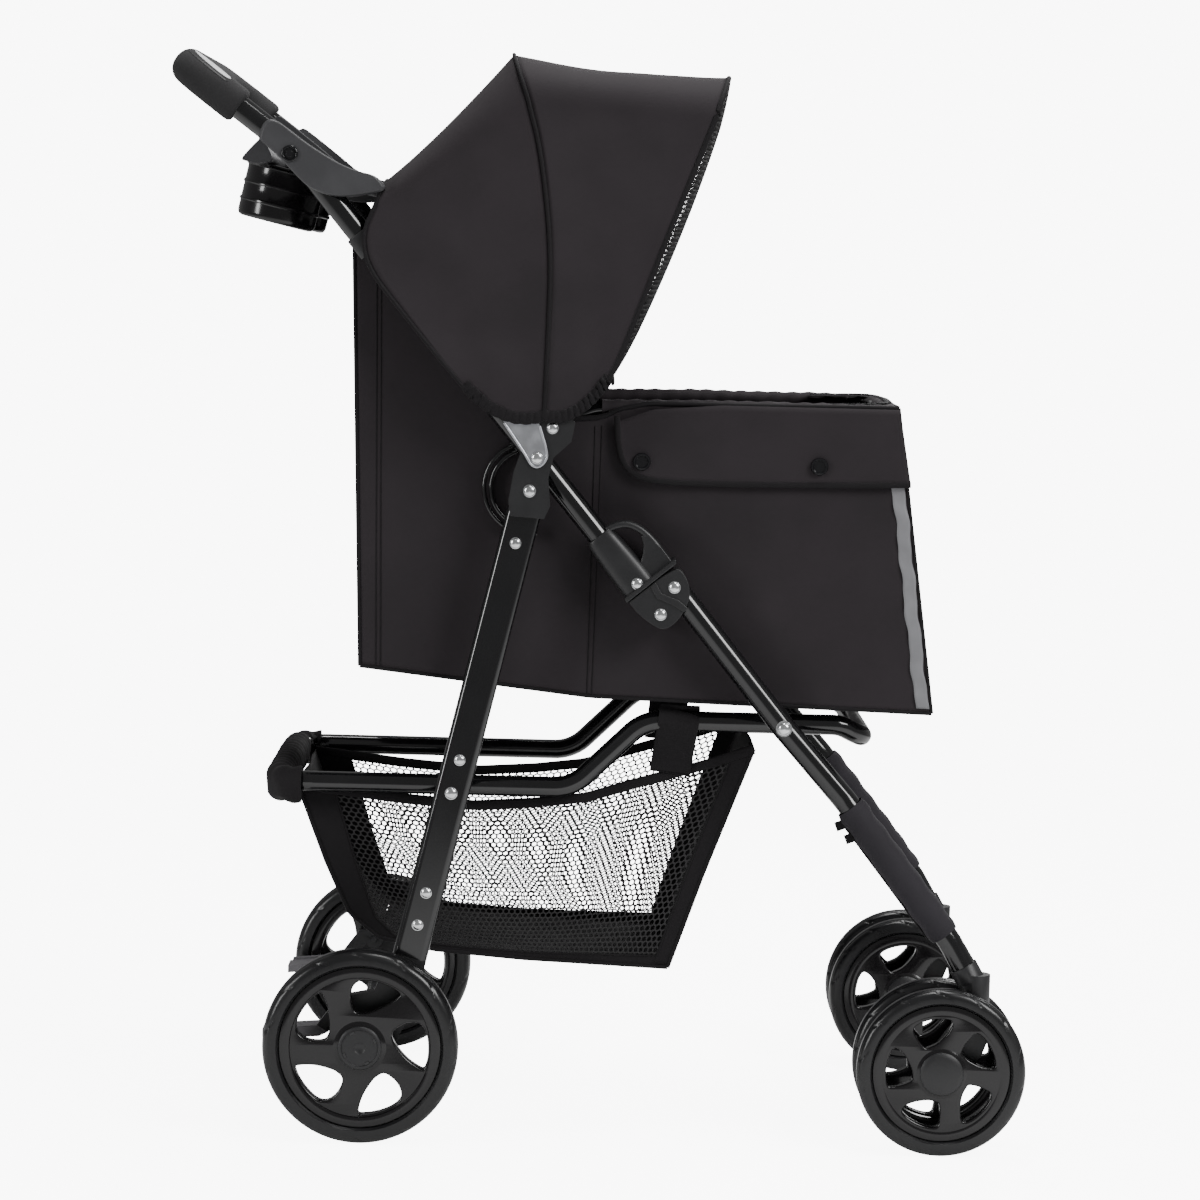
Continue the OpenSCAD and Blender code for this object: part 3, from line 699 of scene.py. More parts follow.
def net(region, pitch, thread, place):
    """Hexagonal net over the part of a flat (a, b) mm plane where region(a, b) is true, as flat threads."""
    lows, highs = region.box
    r = pitch / sqrt(3)
    cells = {}
    step_b = 1.5 * r
    rows = int((highs[1] - lows[1]) / step_b) + 2
    cols = int((highs[0] - lows[0]) / pitch) + 2
    edges = set()
    for i in range(rows):
        for j in range(cols):
            ca = lows[0] + j * pitch + (pitch / 2 if i % 2 else 0)
            cb = lows[1] + i * step_b
            ring = []
            for k in range(6):
                t = radians(60 * k + 30)
                a, b = ca + r * cos(t), cb + r * sin(t)
                ring.append((round(a * 20), round(b * 20)))
                cells.setdefault(ring[-1], (a, b))
            edges.update(tuple(sorted(pair)) for pair in zip(ring, ring[1:] + ring[:1]))
    verts, faces = [], []
    for k0, k1 in sorted(edges):
        p, q = np.array(cells[k0]), np.array(cells[k1])
        mid = (p + q) / 2
        if not region(*mid):
            continue
        d = (q - p) / np.linalg.norm(q - p)
        w = np.array([-d[1], d[0]]) * thread / 2
        p = p - d * thread * 0.3
        q = q + d * thread * 0.3
        k = len(verts)
        verts += [place(*(p + w)), place(*(p - w)), place(*(q - w)), place(*(q + w))]
        faces.append((k, k + 1, k + 2, k + 3))
    return Form().add(verts, faces)


class Region:
    """A flat region inside an outline."""

    def __init__(self, outline):
        self.outline = np.array(outline, float)
        self.box = (self.outline.min(0), self.outline.max(0))

    def __call__(self, a, b):
        inside = False
        pts = self.outline
        for (x0, y0), (x1, y1) in zip(pts, np.roll(pts, -1, axis=0)):
            if (y0 > b) != (y1 > b) and a < (x1 - x0) * (b - y0) / (y1 - y0) + x0:
                inside = not inside
        return inside


def make_window():
    """The net window that closes the canopy's front, bulging a little in front of the leading hoop."""
    half = FRONT_BOW[: len(FRONT_BOW) // 2 + 1]
    heights = (half[:, 2] - half[0, 2]) / MM
    widths = half[:, 1] / MM
    top = heights[-1]

    def place(a, b):
        x = float(np.interp(b, heights, half[:, 0]))
        limit = float(np.interp(b, heights, widths))
        bulge = 0.0
        if abs(a) < limit:
            bulge = 13 * sin(pi * clamp(b / top)) ** 0.5 * cos(0.5 * pi * a / limit) ** 0.5
        return np.array([x + MM * (bulge + 1.5), MM * a, half[0, 2] + MM * b])

    edge = [(w - 1.0, max(min(h, top - 0.5), 2)) for w, h in zip(widths, heights)]
    region = Region(edge + [(-w, h) for w, h in edge[::-1]])
    o = piece("canopy_window_net", net(region, 4.8, 1.3, place), "mesh_thread", "canopy_lead", "polyester",
              angle=30, thick=0.25)
    low = [place(a, 3) for a in np.linspace(-widths[0] + 2, widths[0] - 2, 40)]
    hem = Form().sweep(low, oval(6, 1.4, 3, 16), up=(1, 0, 0.2))
    piece("canopy_window_hem", hem, "binding_cloth", "canopy_lead", "polyester", angle=60)


# ---- cabin ----

CABIN_TOP = [(0, -22, 775), (0.05, 2, 767), (0.18, 62, 705), (0.3, 122, 645), (0.35, 160, 629), (0.4, 197, 632),
             (0.42, 212, 640), (0.5, 236, 645), (0.7, 307, 645), (1, 454, 646)]
CABIN_LOW = [(0, -10, 410), (0.4, 192, 388), (1, 491, 380)]


def along(table, t):
    t_values = [r[0] for r in table]
    return np.array([np.interp(t, t_values, [r[k] for r in table]) for k in (1, 2)])


def cabin_side_point(t, v, side, out=0.0):
    """A point of the cabin's side wall: t from the back to the front, v from the bottom to the top."""
    low, high = along(CABIN_LOW, t), along(CABIN_TOP, t)
    x, z = low * (1 - v) + high * v
    puff = sin(pi * clamp(t)) ** 0.5 * sin(pi * clamp(v)) ** 0.5
    p = at(x, z, CABIN_W)
    drawn = sin(6.5 * t + 2.2 * v) * 1.1 + sin(15 * v + 4 * t + 1.0) * 0.8
    rumple = wobble(p, 8, 2.2) * 4.6 + wobble(p, 20, 5.7) * 2.2 + wobble(p, 46, 0.4) * 0.5
    seam_pinch = 1.6 * exp(-(((x - 194) / 5) ** 2)) + 1.4 * exp(-(((x - 2) / 4) ** 2))
    y = CABIN_W - 1.6 + puff * (drawn + rumple * 0.75 - 1.6) - seam_pinch * puff + out
    return at(x, z, side * min(y, CABIN_W + 2.4 + out))


TUBE_LINE_ANCHOR = tuple(on_tube(250, 0, 0))
FOLD_AXIS = (float(OUT[0]), 0.0, float(OUT[1]))


def folds_with_frame(o):
    """Cabin cloth goes with the handle frame, in a mesh of its own."""
    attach(o, "handle_frame")
    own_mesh(o)


def cabin_piece(name, form, look, slot="polyester", **kwargs):
    o = piece(name, form, look, None, slot, **kwargs)
    folds_with_frame(o)
    return o


def cabin_end(bottom, top, bulge):
    """The front or back wall: from the bottom edge to the top edge, across the width, a little full."""

    def point(v, w):
        x, z = np.array(bottom) * (1 - v) + np.array(top) * v
        inside = 1 - w ** 4
        p = at(x + bulge * inside * sin(pi * v) ** 0.6, z, w * (CABIN_W - 1.6))
        return p + np.array([MM * wobble(p, 11, 3.3) * 1.6 * inside, 0, 0])

    return surface(np.linspace(0, 1, 18), np.linspace(-1, 1, 34), point)


def cabin_under(t, w):
    """A point of the cabin's bottom: t from the back to the front, w across."""
    p = at(*along(CABIN_LOW, t), w * (CABIN_W - 1.6))
    return p + np.array([0, 0, MM * (wobble(p, 10, 7.7) * 1.2 - 0.5) * (1 - w ** 4)])


def make_cabin():
    done = []
    for word, side in SIDES:
        wall = surface(np.linspace(0, 1, 110), np.linspace(0, 1, 60), lambda t, v: cabin_side_point(t, v, side))
        o = cabin_piece("cabin_side_" + word, Form().grid(wall), "polyester", angle=180, thick=1.2)
        done.append((o, wall, ["cabin_rim", "cabin_floor"]))
        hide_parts("cabin_shell")
        lines = Form()
        for t_low, t_high, v_top in ((0.032, 0.045, 0.98), (0.398, 0.395, 0.97)):
            for shift in (-0.004, 0.004):
                lines.sweep([cabin_side_point(t_low + (t_high - t_low) * v + shift, v, side, 0.7)
                             for v in np.linspace(0.0, v_top, 44)], circle(0.55, 8))
        cabin_piece("cabin_seams_" + word, lines, "binding_cloth", angle=60)
        welt = Form()
        for t_fixed in (0.0, 1.0):
            welt.sweep([cabin_side_point(t_fixed, v, side) for v in np.linspace(0, 1, 40)], circle(1.7, 10))
        welt.sweep([cabin_side_point(t, 0, side) for t in np.linspace(0, 1, 60)], circle(1.8, 10))
        welt.sweep([cabin_side_point(t, 1, side) for t in np.linspace(0, 1, 80)], circle(2.2, 10))
        cabin_piece("cabin_welts_" + word, welt, "binding_cloth", angle=60)
    under = surface(np.linspace(0, 1, 60), np.linspace(-1, 1, 24), cabin_under)
    for name, rows, thick in (("cabin_back", cabin_end((-10, 410), (-22, 775), -1.5), 1.2),
                              ("cabin_front", cabin_end((491, 380), (454, 648), 5), 1.2),
                              ("cabin_bottom", under, 1.4)):
        o = cabin_piece(name, Form().grid(rows), "polyester", angle=180, thick=thick)
        done.append((o, rows, ["cabin_floor"]))
    for o, rows, on in done:
        declare(o, rows, on)
    make_cabin_floor()
    make_top_hem()
    make_flaps()
    make_reflectors()
    make_zip()


def make_cabin_floor():
    """The padded mat on the cabin's floor, with a piped edge and two sewn channels across it."""
    steps = np.linspace(0, 1, 64)
    floor_z = np.interp(2 + steps * 476, [0, 192, 480], [411.5, 390, 382.5])

    def point(i, w):
        t = steps[i]
        edge = (1 - abs(w) ** 10) ** 0.5 * (1 - abs(2 * t - 1) ** 14) ** 0.5
        channel = sum(exp(-(((t - c) / 0.012) ** 2)) for c in (0.4, 0.7))
        p = at(2 + t * 476, floor_z[i] + 1.5, w * 140)
        return p + np.array([0, 0, MM * (1.5 + edge * (9.5 - 4.5 * channel) + 0.6 * wobble(p, 18, 1.1))])

    top = surface(range(len(steps)), np.linspace(-1, 1, 34), point)
    low = top.copy()
    low[:, :, 2] = MM * (floor_z[:, None] + 1)
    rings = [np.concatenate([r[:-1] for r in (g[0], g[:, -1], g[-1][::-1], g[::-1, 0])]) for g in (top, low)]
    form = Form().grid(top).grid(low).grid(np.stack(rings, 1), close_u=True)
    o = cabin_piece("cabin_mat", form, "polyester", angle=50)
    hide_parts("cabin_floor")


def gathered(line, n, offset):
    """A gathered sleeve round a level line; offset(i, k, angle, p) gives its mm sideways and up."""
    last = len(line) - 1

    def point(i, k):
        t = line[min(i + 1, last)] - line[max(i - 1, 0)]
        side_dir = np.cross(t / np.linalg.norm(t), (0, 0, 1))
        out, up = offset(i, k, 2 * pi * k / n, line[i])
        return line[i] + MM * (out * side_dir + up * np.array([0, 0, 1]))

    return Form().grid(surface(range(len(line)), range(n), point), close_v=True, caps=True)


def make_top_hem():
    """The sleeve of cloth that wraps the rim tube round the cabin's mouth, gathered a little."""
    y = CABIN_W - 8
    half = [(196, 641, y), (300, 642.5, y), (440, 642, y), (449, 642, y - 9), (449, 642, 0)]

    def offset(i, k, a, p):
        r = 6.6 + 0.9 * wobble(p + np.array([k * 0.01, 0, 0]), 60, 9.1) + 0.5 * sin(i * 1.7)
        return r * cos(a), r * sin(a)

    sleeve = gathered(whole(smooth_path([at(*p) for p in half], 90)), 14, offset)
    piece("cabin_rim_sleeve", sleeve, "polyester", "top_rim", angle=70)


FLAP = [(209, 634), (211, 604), (219, 586), (240, 577.5), (290, 576.5), (380, 577.5), (466, 580)]


def make_flaps():
    """A flap along the top of each side, bound round its edge and held by two snaps."""
    for word, side in SIDES:
        low = smooth_path(FLAP, 70)

        def point(i, v):
            x, z = low[i]
            top_x = max(212, min(455, x if i > 12 else 210 + i * 0.6))
            top_z = float(np.interp(top_x, [208, 240, 300], [628, 640, 645]))
            px, pz = x * (1 - v) + top_x * v, z * (1 - v) + top_z * v
            stand = 3.4 + 1.3 * sin(px / 31.0) * (1 - v) - 1.2 * v
            return at(px, pz, side * (CABIN_W + stand + 0.7 * wobble(at(px, pz, CABIN_W), 24, 6.6)))

        rows = surface(range(len(low)), np.linspace(0, 1, 14), point)
        o = cabin_piece("cabin_flap_" + word, Form().grid(rows), "polyester", angle=180, thick=1.3)
        edge = Form()
        edge.sweep(rows[:, 0], oval(2.6, 1.2, 2.5, 12), up=(0, side, 0))
        bind = cabin_piece("cabin_flap_binding_" + word, edge, "binding_cloth", angle=60)
        declare(o, rows, ["cabin_side_" + word])
        snaps = Form()
        for x, z in ((231.5, 594.5), (386, 594)):
            centre = at(x, z, side * (CABIN_W + 4.2))
            profile = [(0.01, 1.9), (5.0, 1.7), (5.8, 2.8), (7.2, 2.6), (7.8, 1.2), (7.8, 0)]
            snaps.lathe([(r, side * y) for r, y in profile], centre, n=32)
        cabin_piece("cabin_snaps_" + word, snaps, "snap_enamel", "plastic_gloss", angle=50)


def make_reflectors():
    """The grey reflective tape sewn down each side by the front edge, a little wavy."""
    for word, side in SIDES:

        def point(v, w):
            wave = 0.7 * sin(v * 33) + 0.4 * sin(v * 71 + 1)
            p = cabin_side_point(0.984 + (w * 5.6 + wave) / 480, v, side, 1.4)
            return p + np.array([0, side * MM * 0.5 * sin(v * 60 + w), 0])

        rows = surface(np.linspace(0.015, 0.76, 60), np.linspace(-1, 1, 6), point)
        o = cabin_piece("cabin_reflective_tape_" + word, Form().grid(rows), "reflective_tape", angle=180, thick=0.5)
        declare(o, rows, ["cabin_side_" + word])


def make_zip():
    """A zip round the front corners of the cabin's mouth: its tape and teeth."""
    teeth = Form()
    tape = Form()
    y = CABIN_W - 20
    line = [(392, 646, y), (430, 647, y), (449, 647.5, y - 14), (453, 647.5, 0)]
    path = whole(smooth_path([at(*p) for p in line], 60))
    tape.sweep(path, oval(5.5, 0.6, 4, 12), up=(0, 0, 1))
    fine = resample(path, int(length_of(path) / 0.0024))
    for i in range(1, len(fine) - 1):
        t = fine[i + 1] - fine[i - 1]
        t = t / np.linalg.norm(t)
        across = np.cross(t, (0, 0, 1))
        shift = 0.9 if i % 2 else -0.9
        c = fine[i] + MM * (across * shift + np.array([0, 0, 1.0]))
        box = [c + MM * (a * t * 0.8 + b * across * 2.0 + np.array([0, 0, h])) for h in (0, 1.3)
               for a, b in ((-1, -1), (1, -1), (1, 1), (-1, 1))]
        teeth.add(box, [(0, 3, 2, 1), (4, 5, 6, 7), (0, 1, 5, 4), (1, 2, 6, 5), (2, 3, 7, 6), (3, 0, 4, 7)])
    piece("cabin_zip_tape", tape, "binding_cloth", "top_rim", "polyester", angle=60)
    piece("cabin_zip_teeth", teeth, "plastic_dark", "top_rim")


# ---- basket ----

BASKET_BACK = [(-64, 300), (-38, 232), (-17, 186), (10, 164)]
BASKET_LOW = [(10, 164), (60, 154), (140, 148), (267, 143)]
BASKET_FRONT = [(267, 143), (296, 228), (338, 341)]
BASKET_TOP = [(-64, 297), (20, 288), (90, 283), (144, 287), (190, 293), (250, 312), (300, 327), (338, 341)]


BASKET_EDGES = [resample(line, 60) for line in (BASKET_LOW, BASKET_TOP, BASKET_BACK[::-1], BASKET_FRONT)]


def basket_point(u, v, side, out=0.0):
    """A point of the basket's side: u from the back to the front, v from the bottom to the top."""
    low, top, back, front = BASKET_EDGES

    def pick(line, t):
        t = clamp(t) * (len(line) - 1)
        k = min(int(t), len(line) - 2)
        return line[k] * (1 - t + k) + line[k + 1] * (t - k)

    p = (1 - v) * pick(low, u) + v * pick(top, u) + (1 - u) * pick(back, v) + u * pick(front, v)
    p = p - (1 - v) * ((1 - u) * low[0] + u * low[-1]) - v * ((1 - u) * top[0] + u * top[-1])
    full_v = sin(pi * clamp(v))
    sag = 4.0 * full_v * sin(pi * clamp(u))
    y = BASKET_W - 3 - 6.0 * (1 - v) + sag + wobble(at(*p, BASKET_W), 12, 8.8) * 1.5 * full_v + out
    return at(*p, side * y)


def basket_piece(name, form, look, slot="basket_cloth", **kwargs):
    o = piece(name, form, look, "basket_frame", slot, **kwargs)
    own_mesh(o)
    return o


MESH_U = (0.08, 0.95)
MESH_V = (0.05, 0.985)
SIDE_LONG = 330.0
SIDE_HIGH = 165.0


def make_basket():
    for word, side in SIDES:
        outline = [(MESH_U[i] * SIDE_LONG, MESH_V[k] * SIDE_HIGH) for i, k in ((0, 0), (1, 0), (1, 1), (0, 1))]
        threads = net(Region(outline), 5.3, 1.4,
                      lambda a, b, s=side: basket_point(a / SIDE_LONG, b / SIDE_HIGH, s))
        o = basket_piece("basket_net_" + word, threads, "mesh_thread")
        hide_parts("basket")
        borders = Form()
        for u0, u1, v1, n, m in ((0, MESH_U[0], 1, 16, 30), (MESH_U[1], 1, 1, 14, 30), (*MESH_U, MESH_V[0], 60, 12)):
            strip = surface(np.linspace(u0, u1, n), np.linspace(0, v1, m), lambda u, v: basket_point(u, v, side))
            borders.grid(strip)
        b = basket_piece("basket_border_" + word, borders, "basket_cloth", angle=180, thick=1.0)
        trim = Form()
        band, cord, seam = oval(1.5, 4.6, 2.6, 14), circle(1.9, 10), circle(0.8, 8)
        for start, end, n, section, out, up in (
                ((0, 1), (1, 1), 80, band, 0.4, (0, 0, 1)),
                ((0, 0), (0, 1), 40, cord, 0.2, (0, 1, 0)), ((1, 0), (1, 1), 40, cord, 0.2, (0, 1, 0)),
                ((0, 0), (1, 0), 60, cord, 0.2, (0, 1, 0)),
                ((MESH_U[0], MESH_V[0]), (MESH_U[0], 1), 34, seam, 0.5, (0, 1, 0)),
                ((MESH_U[1], MESH_V[0]), (MESH_U[1], 1), 34, seam, 0.5, (0, 1, 0)),
                ((MESH_U[0], MESH_V[0]), (MESH_U[1], MESH_V[0]), 50, seam, 0.5, (0, 1, 0))):
            line = zip(np.linspace(start[0], end[0], n), np.linspace(start[1], end[1], n))
            trim.sweep([basket_point(u, v, side, out) for u, v in line], section, up=up)
        basket_piece("basket_trim_" + word, trim, "binding_cloth", angle=60)
    walls = (("basket_back", smooth_path(BASKET_BACK, 30), lambda t: (0, 1 - t), "basket_rear_bar"),
             ("basket_bottom", smooth_path(BASKET_LOW, 30), lambda t: (t, 0), "basket_front_bar"),
             ("basket_front", resample(BASKET_FRONT, 30), lambda t: (1, t), "basket_front_bar"))
    for name, line, edge_at, held_by in walls:

        def point(i, w):
            t = i / 29
            p = at(*line[i], w * abs(basket_point(*edge_at(t), 1)[1]) / MM)
            loose = (1 - w ** 4) * (wobble(p, 11, 4.4) * 3 + sin(w * 7 + t * 3) * 0.8)
            return p + MM * np.array([0, 0, loose - 3 * (1 - w * w)] if name == "basket_bottom" else [loose, 0, 0])

        rows = surface(range(30), np.linspace(-1, 1, 34), point)
        o = basket_piece(name, Form().grid(rows), "basket_cloth", angle=180, thick=1.2)
        declare(o, rows, [held_by])
    make_rear_wrap()
    make_straps()


def make_rear_wrap():
    """The cloth sleeve wrapped round the basket frame's rear bar and its corners, drawn up in folds."""
    y = middle("basket_tube_left").y / MM
    half = [at(-60, 305, y), at(-67, 305, y), at(-78, 305, y - 8), at(-81, 305, y - 30), at(-81, 305, 0)]

    def offset(i, _k, a, p):
        c, s = cos(a), sin(a)
        r = 12.2 + 0.9 * sin(i * 0.9 + 2 * s) + 0.9 * wobble(p + 0.01 * np.array([c, s, 0]), 40, 2.9)
        return r * c, r * s - (7.0 if s < -0.3 else 0.0)

    piece("basket_rear_wrap", gathered(whole(smooth_path(half, 60)), 28, offset), "basket_cloth", "basket_frame",
          angle=70)


def make_straps():
    """Webbing loops that hang the basket's front corners and sides from its frame tubes."""
    y = middle("basket_tube_left").y / MM
    r = 9 + 1.2
    for word, side in SIDES:
        angles = [radians(90 - a) for a in np.linspace(-100, 100, 16)]
        loop = [(y + r * cos(t), 366 + r * sin(t)) for t in angles]
        inner_y = abs(basket_point(0.85, 0.9, 1)[1]) / MM
        start = [(inner_y + 2.5, 318), (inner_y + 2.5, 332)]
        ends = [(inner_y + 4.2, 334), (inner_y + 4.2, 320)]
        points = [at(270 - (366 - z) * 0.12, z, side * w) for w, z in start + loop[::-1] + ends]
        form = Form().sweep(smooth_path(points, 70), oval(18, 0.8, 6, 20), up=(0, 0.05, 0.01))
        piece("basket_strap_" + word, form, "binding_cloth", "basket_frame", "basket_cloth", angle=50)


# ---- handle, tray, hub, locks and sleeves ----


def make_grip():
    """The foam grip with rolled ends, its pale crescent inlays, and dark strips beside them painted on as the shade of
    its slits.
    """
    direction = np.array(HANDLE_BEND) - np.array(HANDLE_CORNER)
    direction = direction / np.linalg.norm(direction)
    low = np.array(HANDLE_CORNER) + 58 * direction
    corner = 43
    start = np.array(HANDLE_CORNER) + corner * direction
    c = at(*start, TUBE_Y - corner)
    d3 = np.array([direction[0], 0, direction[1]])
    arc = [c + MM * corner * (np.array([0, 1, 0]) * cos(t) - d3 * sin(t))
           for t in np.linspace(0, pi / 2, 24)]
    across = resample([arc[-1], arc[-1] * np.array([1, 0, 1])], 24)[1:]
    half = np.concatenate([resample([at(*low, TUBE_Y), arc[0]], 8)[:-1], arc, across])
    path = whole(half)
    n = len(path)

    def scale(t):
        end = min(t, 1 - t) * n
        return float(np.interp(end, [0, 0.6, 1.6, 3], [0.86, 0.95, 0.99, 1.0]))

    form = Form().sweep(path, oval(15.6, 16, 2.2, 36), scale=scale, up=tuple(np.cross((0, 1, 0), d3)))
    o = piece("handle_grip_foam", form, "foam", "handle_frame", angle=60)
    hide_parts("handle_grip")
    inlay = Form()
    # dark strips laid on the foam: painted shade for the slits
    slit_shade = Form()
    up = np.cross(d3, (0, 1, 0))
    up = up if up[2] > 0 else -up
    for side in (1, -1):
        for form, radius, mid_angle, plain, share in ((inlay, 16.25, 1.08, 0, 1), (slit_shade, 16.2, 0.72, 0.15, 0.3)):

            def point(i, w):
                t = 0.1 + i * 1.1 / 25
                outward = np.array([0, 1, 0]) * cos(t) - d3 * sin(t)
                width = 2.8 * sin(pi * (i / 25) ** 0.55) ** 0.7 + 0.2
                a = mid_angle + w * (plain + width * share) / 16
                p = c + MM * corner * outward + MM * radius * (outward * cos(a) + up * sin(a))
                return p * np.array([1, side, 1])

            form.grid(surface(range(26), np.linspace(-1, 1, 7), point))
    piece("handle_grip_inlays", inlay, "grip_inlay", "handle_frame", "foam", angle=60, thick=0.5)
    piece("handle_grip_slit_shades", slit_shade, "mesh_thread", "handle_frame", "foam", angle=60, thick=0.4)


TRAY_WALL = [(-104, 864), (-103, 872), (-98, 881), (-90, 881), (-80, 874), (-64, 862), (-41, 848), (-28, 842),
             (-16, 838), (-5, 836), (2, 830), (6, 825), (2, 821.5), (-6, 820), (-27, 816.2), (-44, 817), (-58, 822.5),
             (-67, 829), (-87, 850)]


def make_tray():
    """The moulded parent tray: two walls over the tubes, a deck with two cup openings, and a scooped front lip."""
    outline = rounded(TRAY_WALL, 90)
    inner = TUBE_Y - 13.5
    walls = Form()
    centre = np.mean(outline, axis=0)
    walls.grid([[at(*(centre + (p - centre) * share), y) for p in outline]
                for y, share in ((inner, 1.0), (TUBE_Y + 13, 1.0), (TUBE_Y + 15.2, 0.955))], close_v=True, caps=True)
    rib = [(-99, 872), (-94.5, 881.6), (-90, 885), (-86, 884), (-38, 847), (-30, 838), (-60, 842), (-90, 864)]
    walls.plate(rounded(rib, 50), inner - 2.6, inner + 0.5)
    walls.both()
    o = piece("tray_walls", walls, "plastic_tray", "handle_frame", angle=38, bevel=0.7)
    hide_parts("parent_tray")
    deck = Form()
    tray_x, tray_z, holes_y, hole_r = -86, 838, 78, 36.5
    tilt = radians(13)
    xs = np.linspace(-100, 4, 50)
    ys = np.linspace(-inner - 1, inner + 1, 110)

    def off_hole(x, y):
        return hypot(x - tray_x, abs(y) - holes_y) / hole_r

    def point(x, y, drop):
        """A point of the deck, pushed out to the edge of the cup's opening if it lies inside."""
        r = off_hole(x, y)
        if r < 1.0:
            k = 1 / r if r > 0.05 else 0
            x = tray_x + (x - tray_x) * k
            y = copysign(holes_y + (abs(y) - holes_y) * k, y)
        z = tray_z - tan(tilt) * (x - tray_x) + 1.5 + 10 * max(0.0, (x + 14) / 18) ** 2
        return at(x, z + drop, y)

    nv = len(ys)
    faces = [(i * nv + j, i * nv + j + 1, (i + 1) * nv + j + 1, (i + 1) * nv + j)
             for i in range(len(xs) - 1) for j in range(nv - 1)
             if off_hole((xs[i] + xs[i + 1]) / 2, (ys[j] + ys[j + 1]) / 2) >= 0.97]
    for drop in (0.0, -2.4):
        deck.add(surface(xs, ys, lambda x, y, d=drop: point(x, y, d)).reshape(-1, 3), faces)
    flap = [(-104, 866), (-112, 858), (-121.5, 847), (-118, 845.5), (-106, 844), (-92, 846), (-100, 862)]
    deck.plate(rounded(flap, 40), -inner - 2, inner + 2)
    piece("tray_deck", deck, "plastic_tray", "handle_frame", angle=40)
    make_cups(tray_x, tray_z, tilt, holes_y)


def make_cups(tray_x, tray_z, tilt, cup_y):
    """The two ribbed gloss cups that hang in the tray."""
    axis_up = np.array([sin(tilt), 0, cos(tilt)])
    across = np.array([cos(tilt), 0, -sin(tilt)])
    profile = [(0.01, -46), (30, -46), (32.8, -45.2), (34.2, -43.4), (34.8, -41), (34.9, -32.4), (35.9, -31.4),
               (36.0, -30), (35.0, -28.8), (35.0, -17), (36.0, -16), (36.0, -14.2), (35.1, -13), (35.2, -1),
               (37.2, 0.6), (38.6, 1.6), (38.6, 3), (36.6, 3.4), (33.2, 2.4), (32.4, 0), (32.2, -40), (30.5, -43),
               (0.01, -43.4)]
    form = Form()
    for side in (-1, 1):
        centre = at(tray_x, tray_z, side * cup_y)
        form.grid([[centre + MM * (r * (across * cos(a) + np.array([0, 1, 0]) * sin(a)) + h * axis_up)
                    for r, h in profile] for a in turns(72)], close_u=True)
    o = piece("tray_cups", form, "plastic_gloss", "handle_frame", angle=40)
    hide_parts("cup_holders")
    bolts = Form()
    x, z = -77, 852
    ring = [(7.2, 14.8), (7.2, 16.6), (6.4, 17.2), (5.2, 17.2), (4.8, 16), (0.01, 16)]
    bolts.lathe(ring, at(x, z, TUBE_Y), n=40)
    hexagon = [(x + 3.4 * cos(t), z + 3.4 * sin(t)) for t in (radians(60 * k + 12) for k in range(6))]
    bolts.plate(hexagon, TUBE_Y + 15.8, TUBE_Y + 17.8)
    o = piece("tray_bolt_heads", bolts.both(), "snap_enamel", "handle_frame", "plastic_dark", bevel=0.4)
    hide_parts("tray_bolts")


def make_hub():
    """The zinc brackets under the canopy's hem, pressed with a raised edge, over the hub plates."""
    outline = [(135, 592.5), (139, 589.5), (143.5, 590), (148, 594.5), (150.2, 601), (140.5, 631), (139, 640),
               (147, 652), (141, 661), (120, 661), (109, 640), (108.6, 631), (131, 600)]
    face = Form().plate(rounded(outline, 70), PLATE_OUT, BRACKET_OUT - 0.4)
    edge = [(112, 627), (131, 600), *outline[:5], (142.5, 625)]
    rim = np.array([at(x, z, BRACKET_OUT - 0.5) for x, z in smooth_path(edge, 60)])
    face.sweep(rim, oval(1.1, 1.3, 2.5, 10), up=(0, 1, 0))
    back = [(131, 636), (149, 636), (150, 656), (140, 662), (129, 656)]
    face.plate(back, TUBE_Y + 13, TUBE_Y + 14.6)
    o = piece("canopy_bracket_plates", face.both(), "galvanised", "handle_frame", angle=40)
    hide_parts("canopy_brackets")
    collar = Form()
    for s, length in ((399, 20), (386, 7)):
        path = [on_tube(s + k, 0, TUBE_Y) for k in np.linspace(0, length, 5)]
        collar.sweep(path, oval(12.6, 13.4, 3.2, 28), up=(0, 1, 0))
    piece("canopy_clips", collar.both(), "plastic_dark", "handle_frame", bevel=0.9)


LATCH_STRAP = [(86, 8), (85, 15), (80, 25), (70, 31.5), (56, 34), (42, 34), (31, 33.5)]


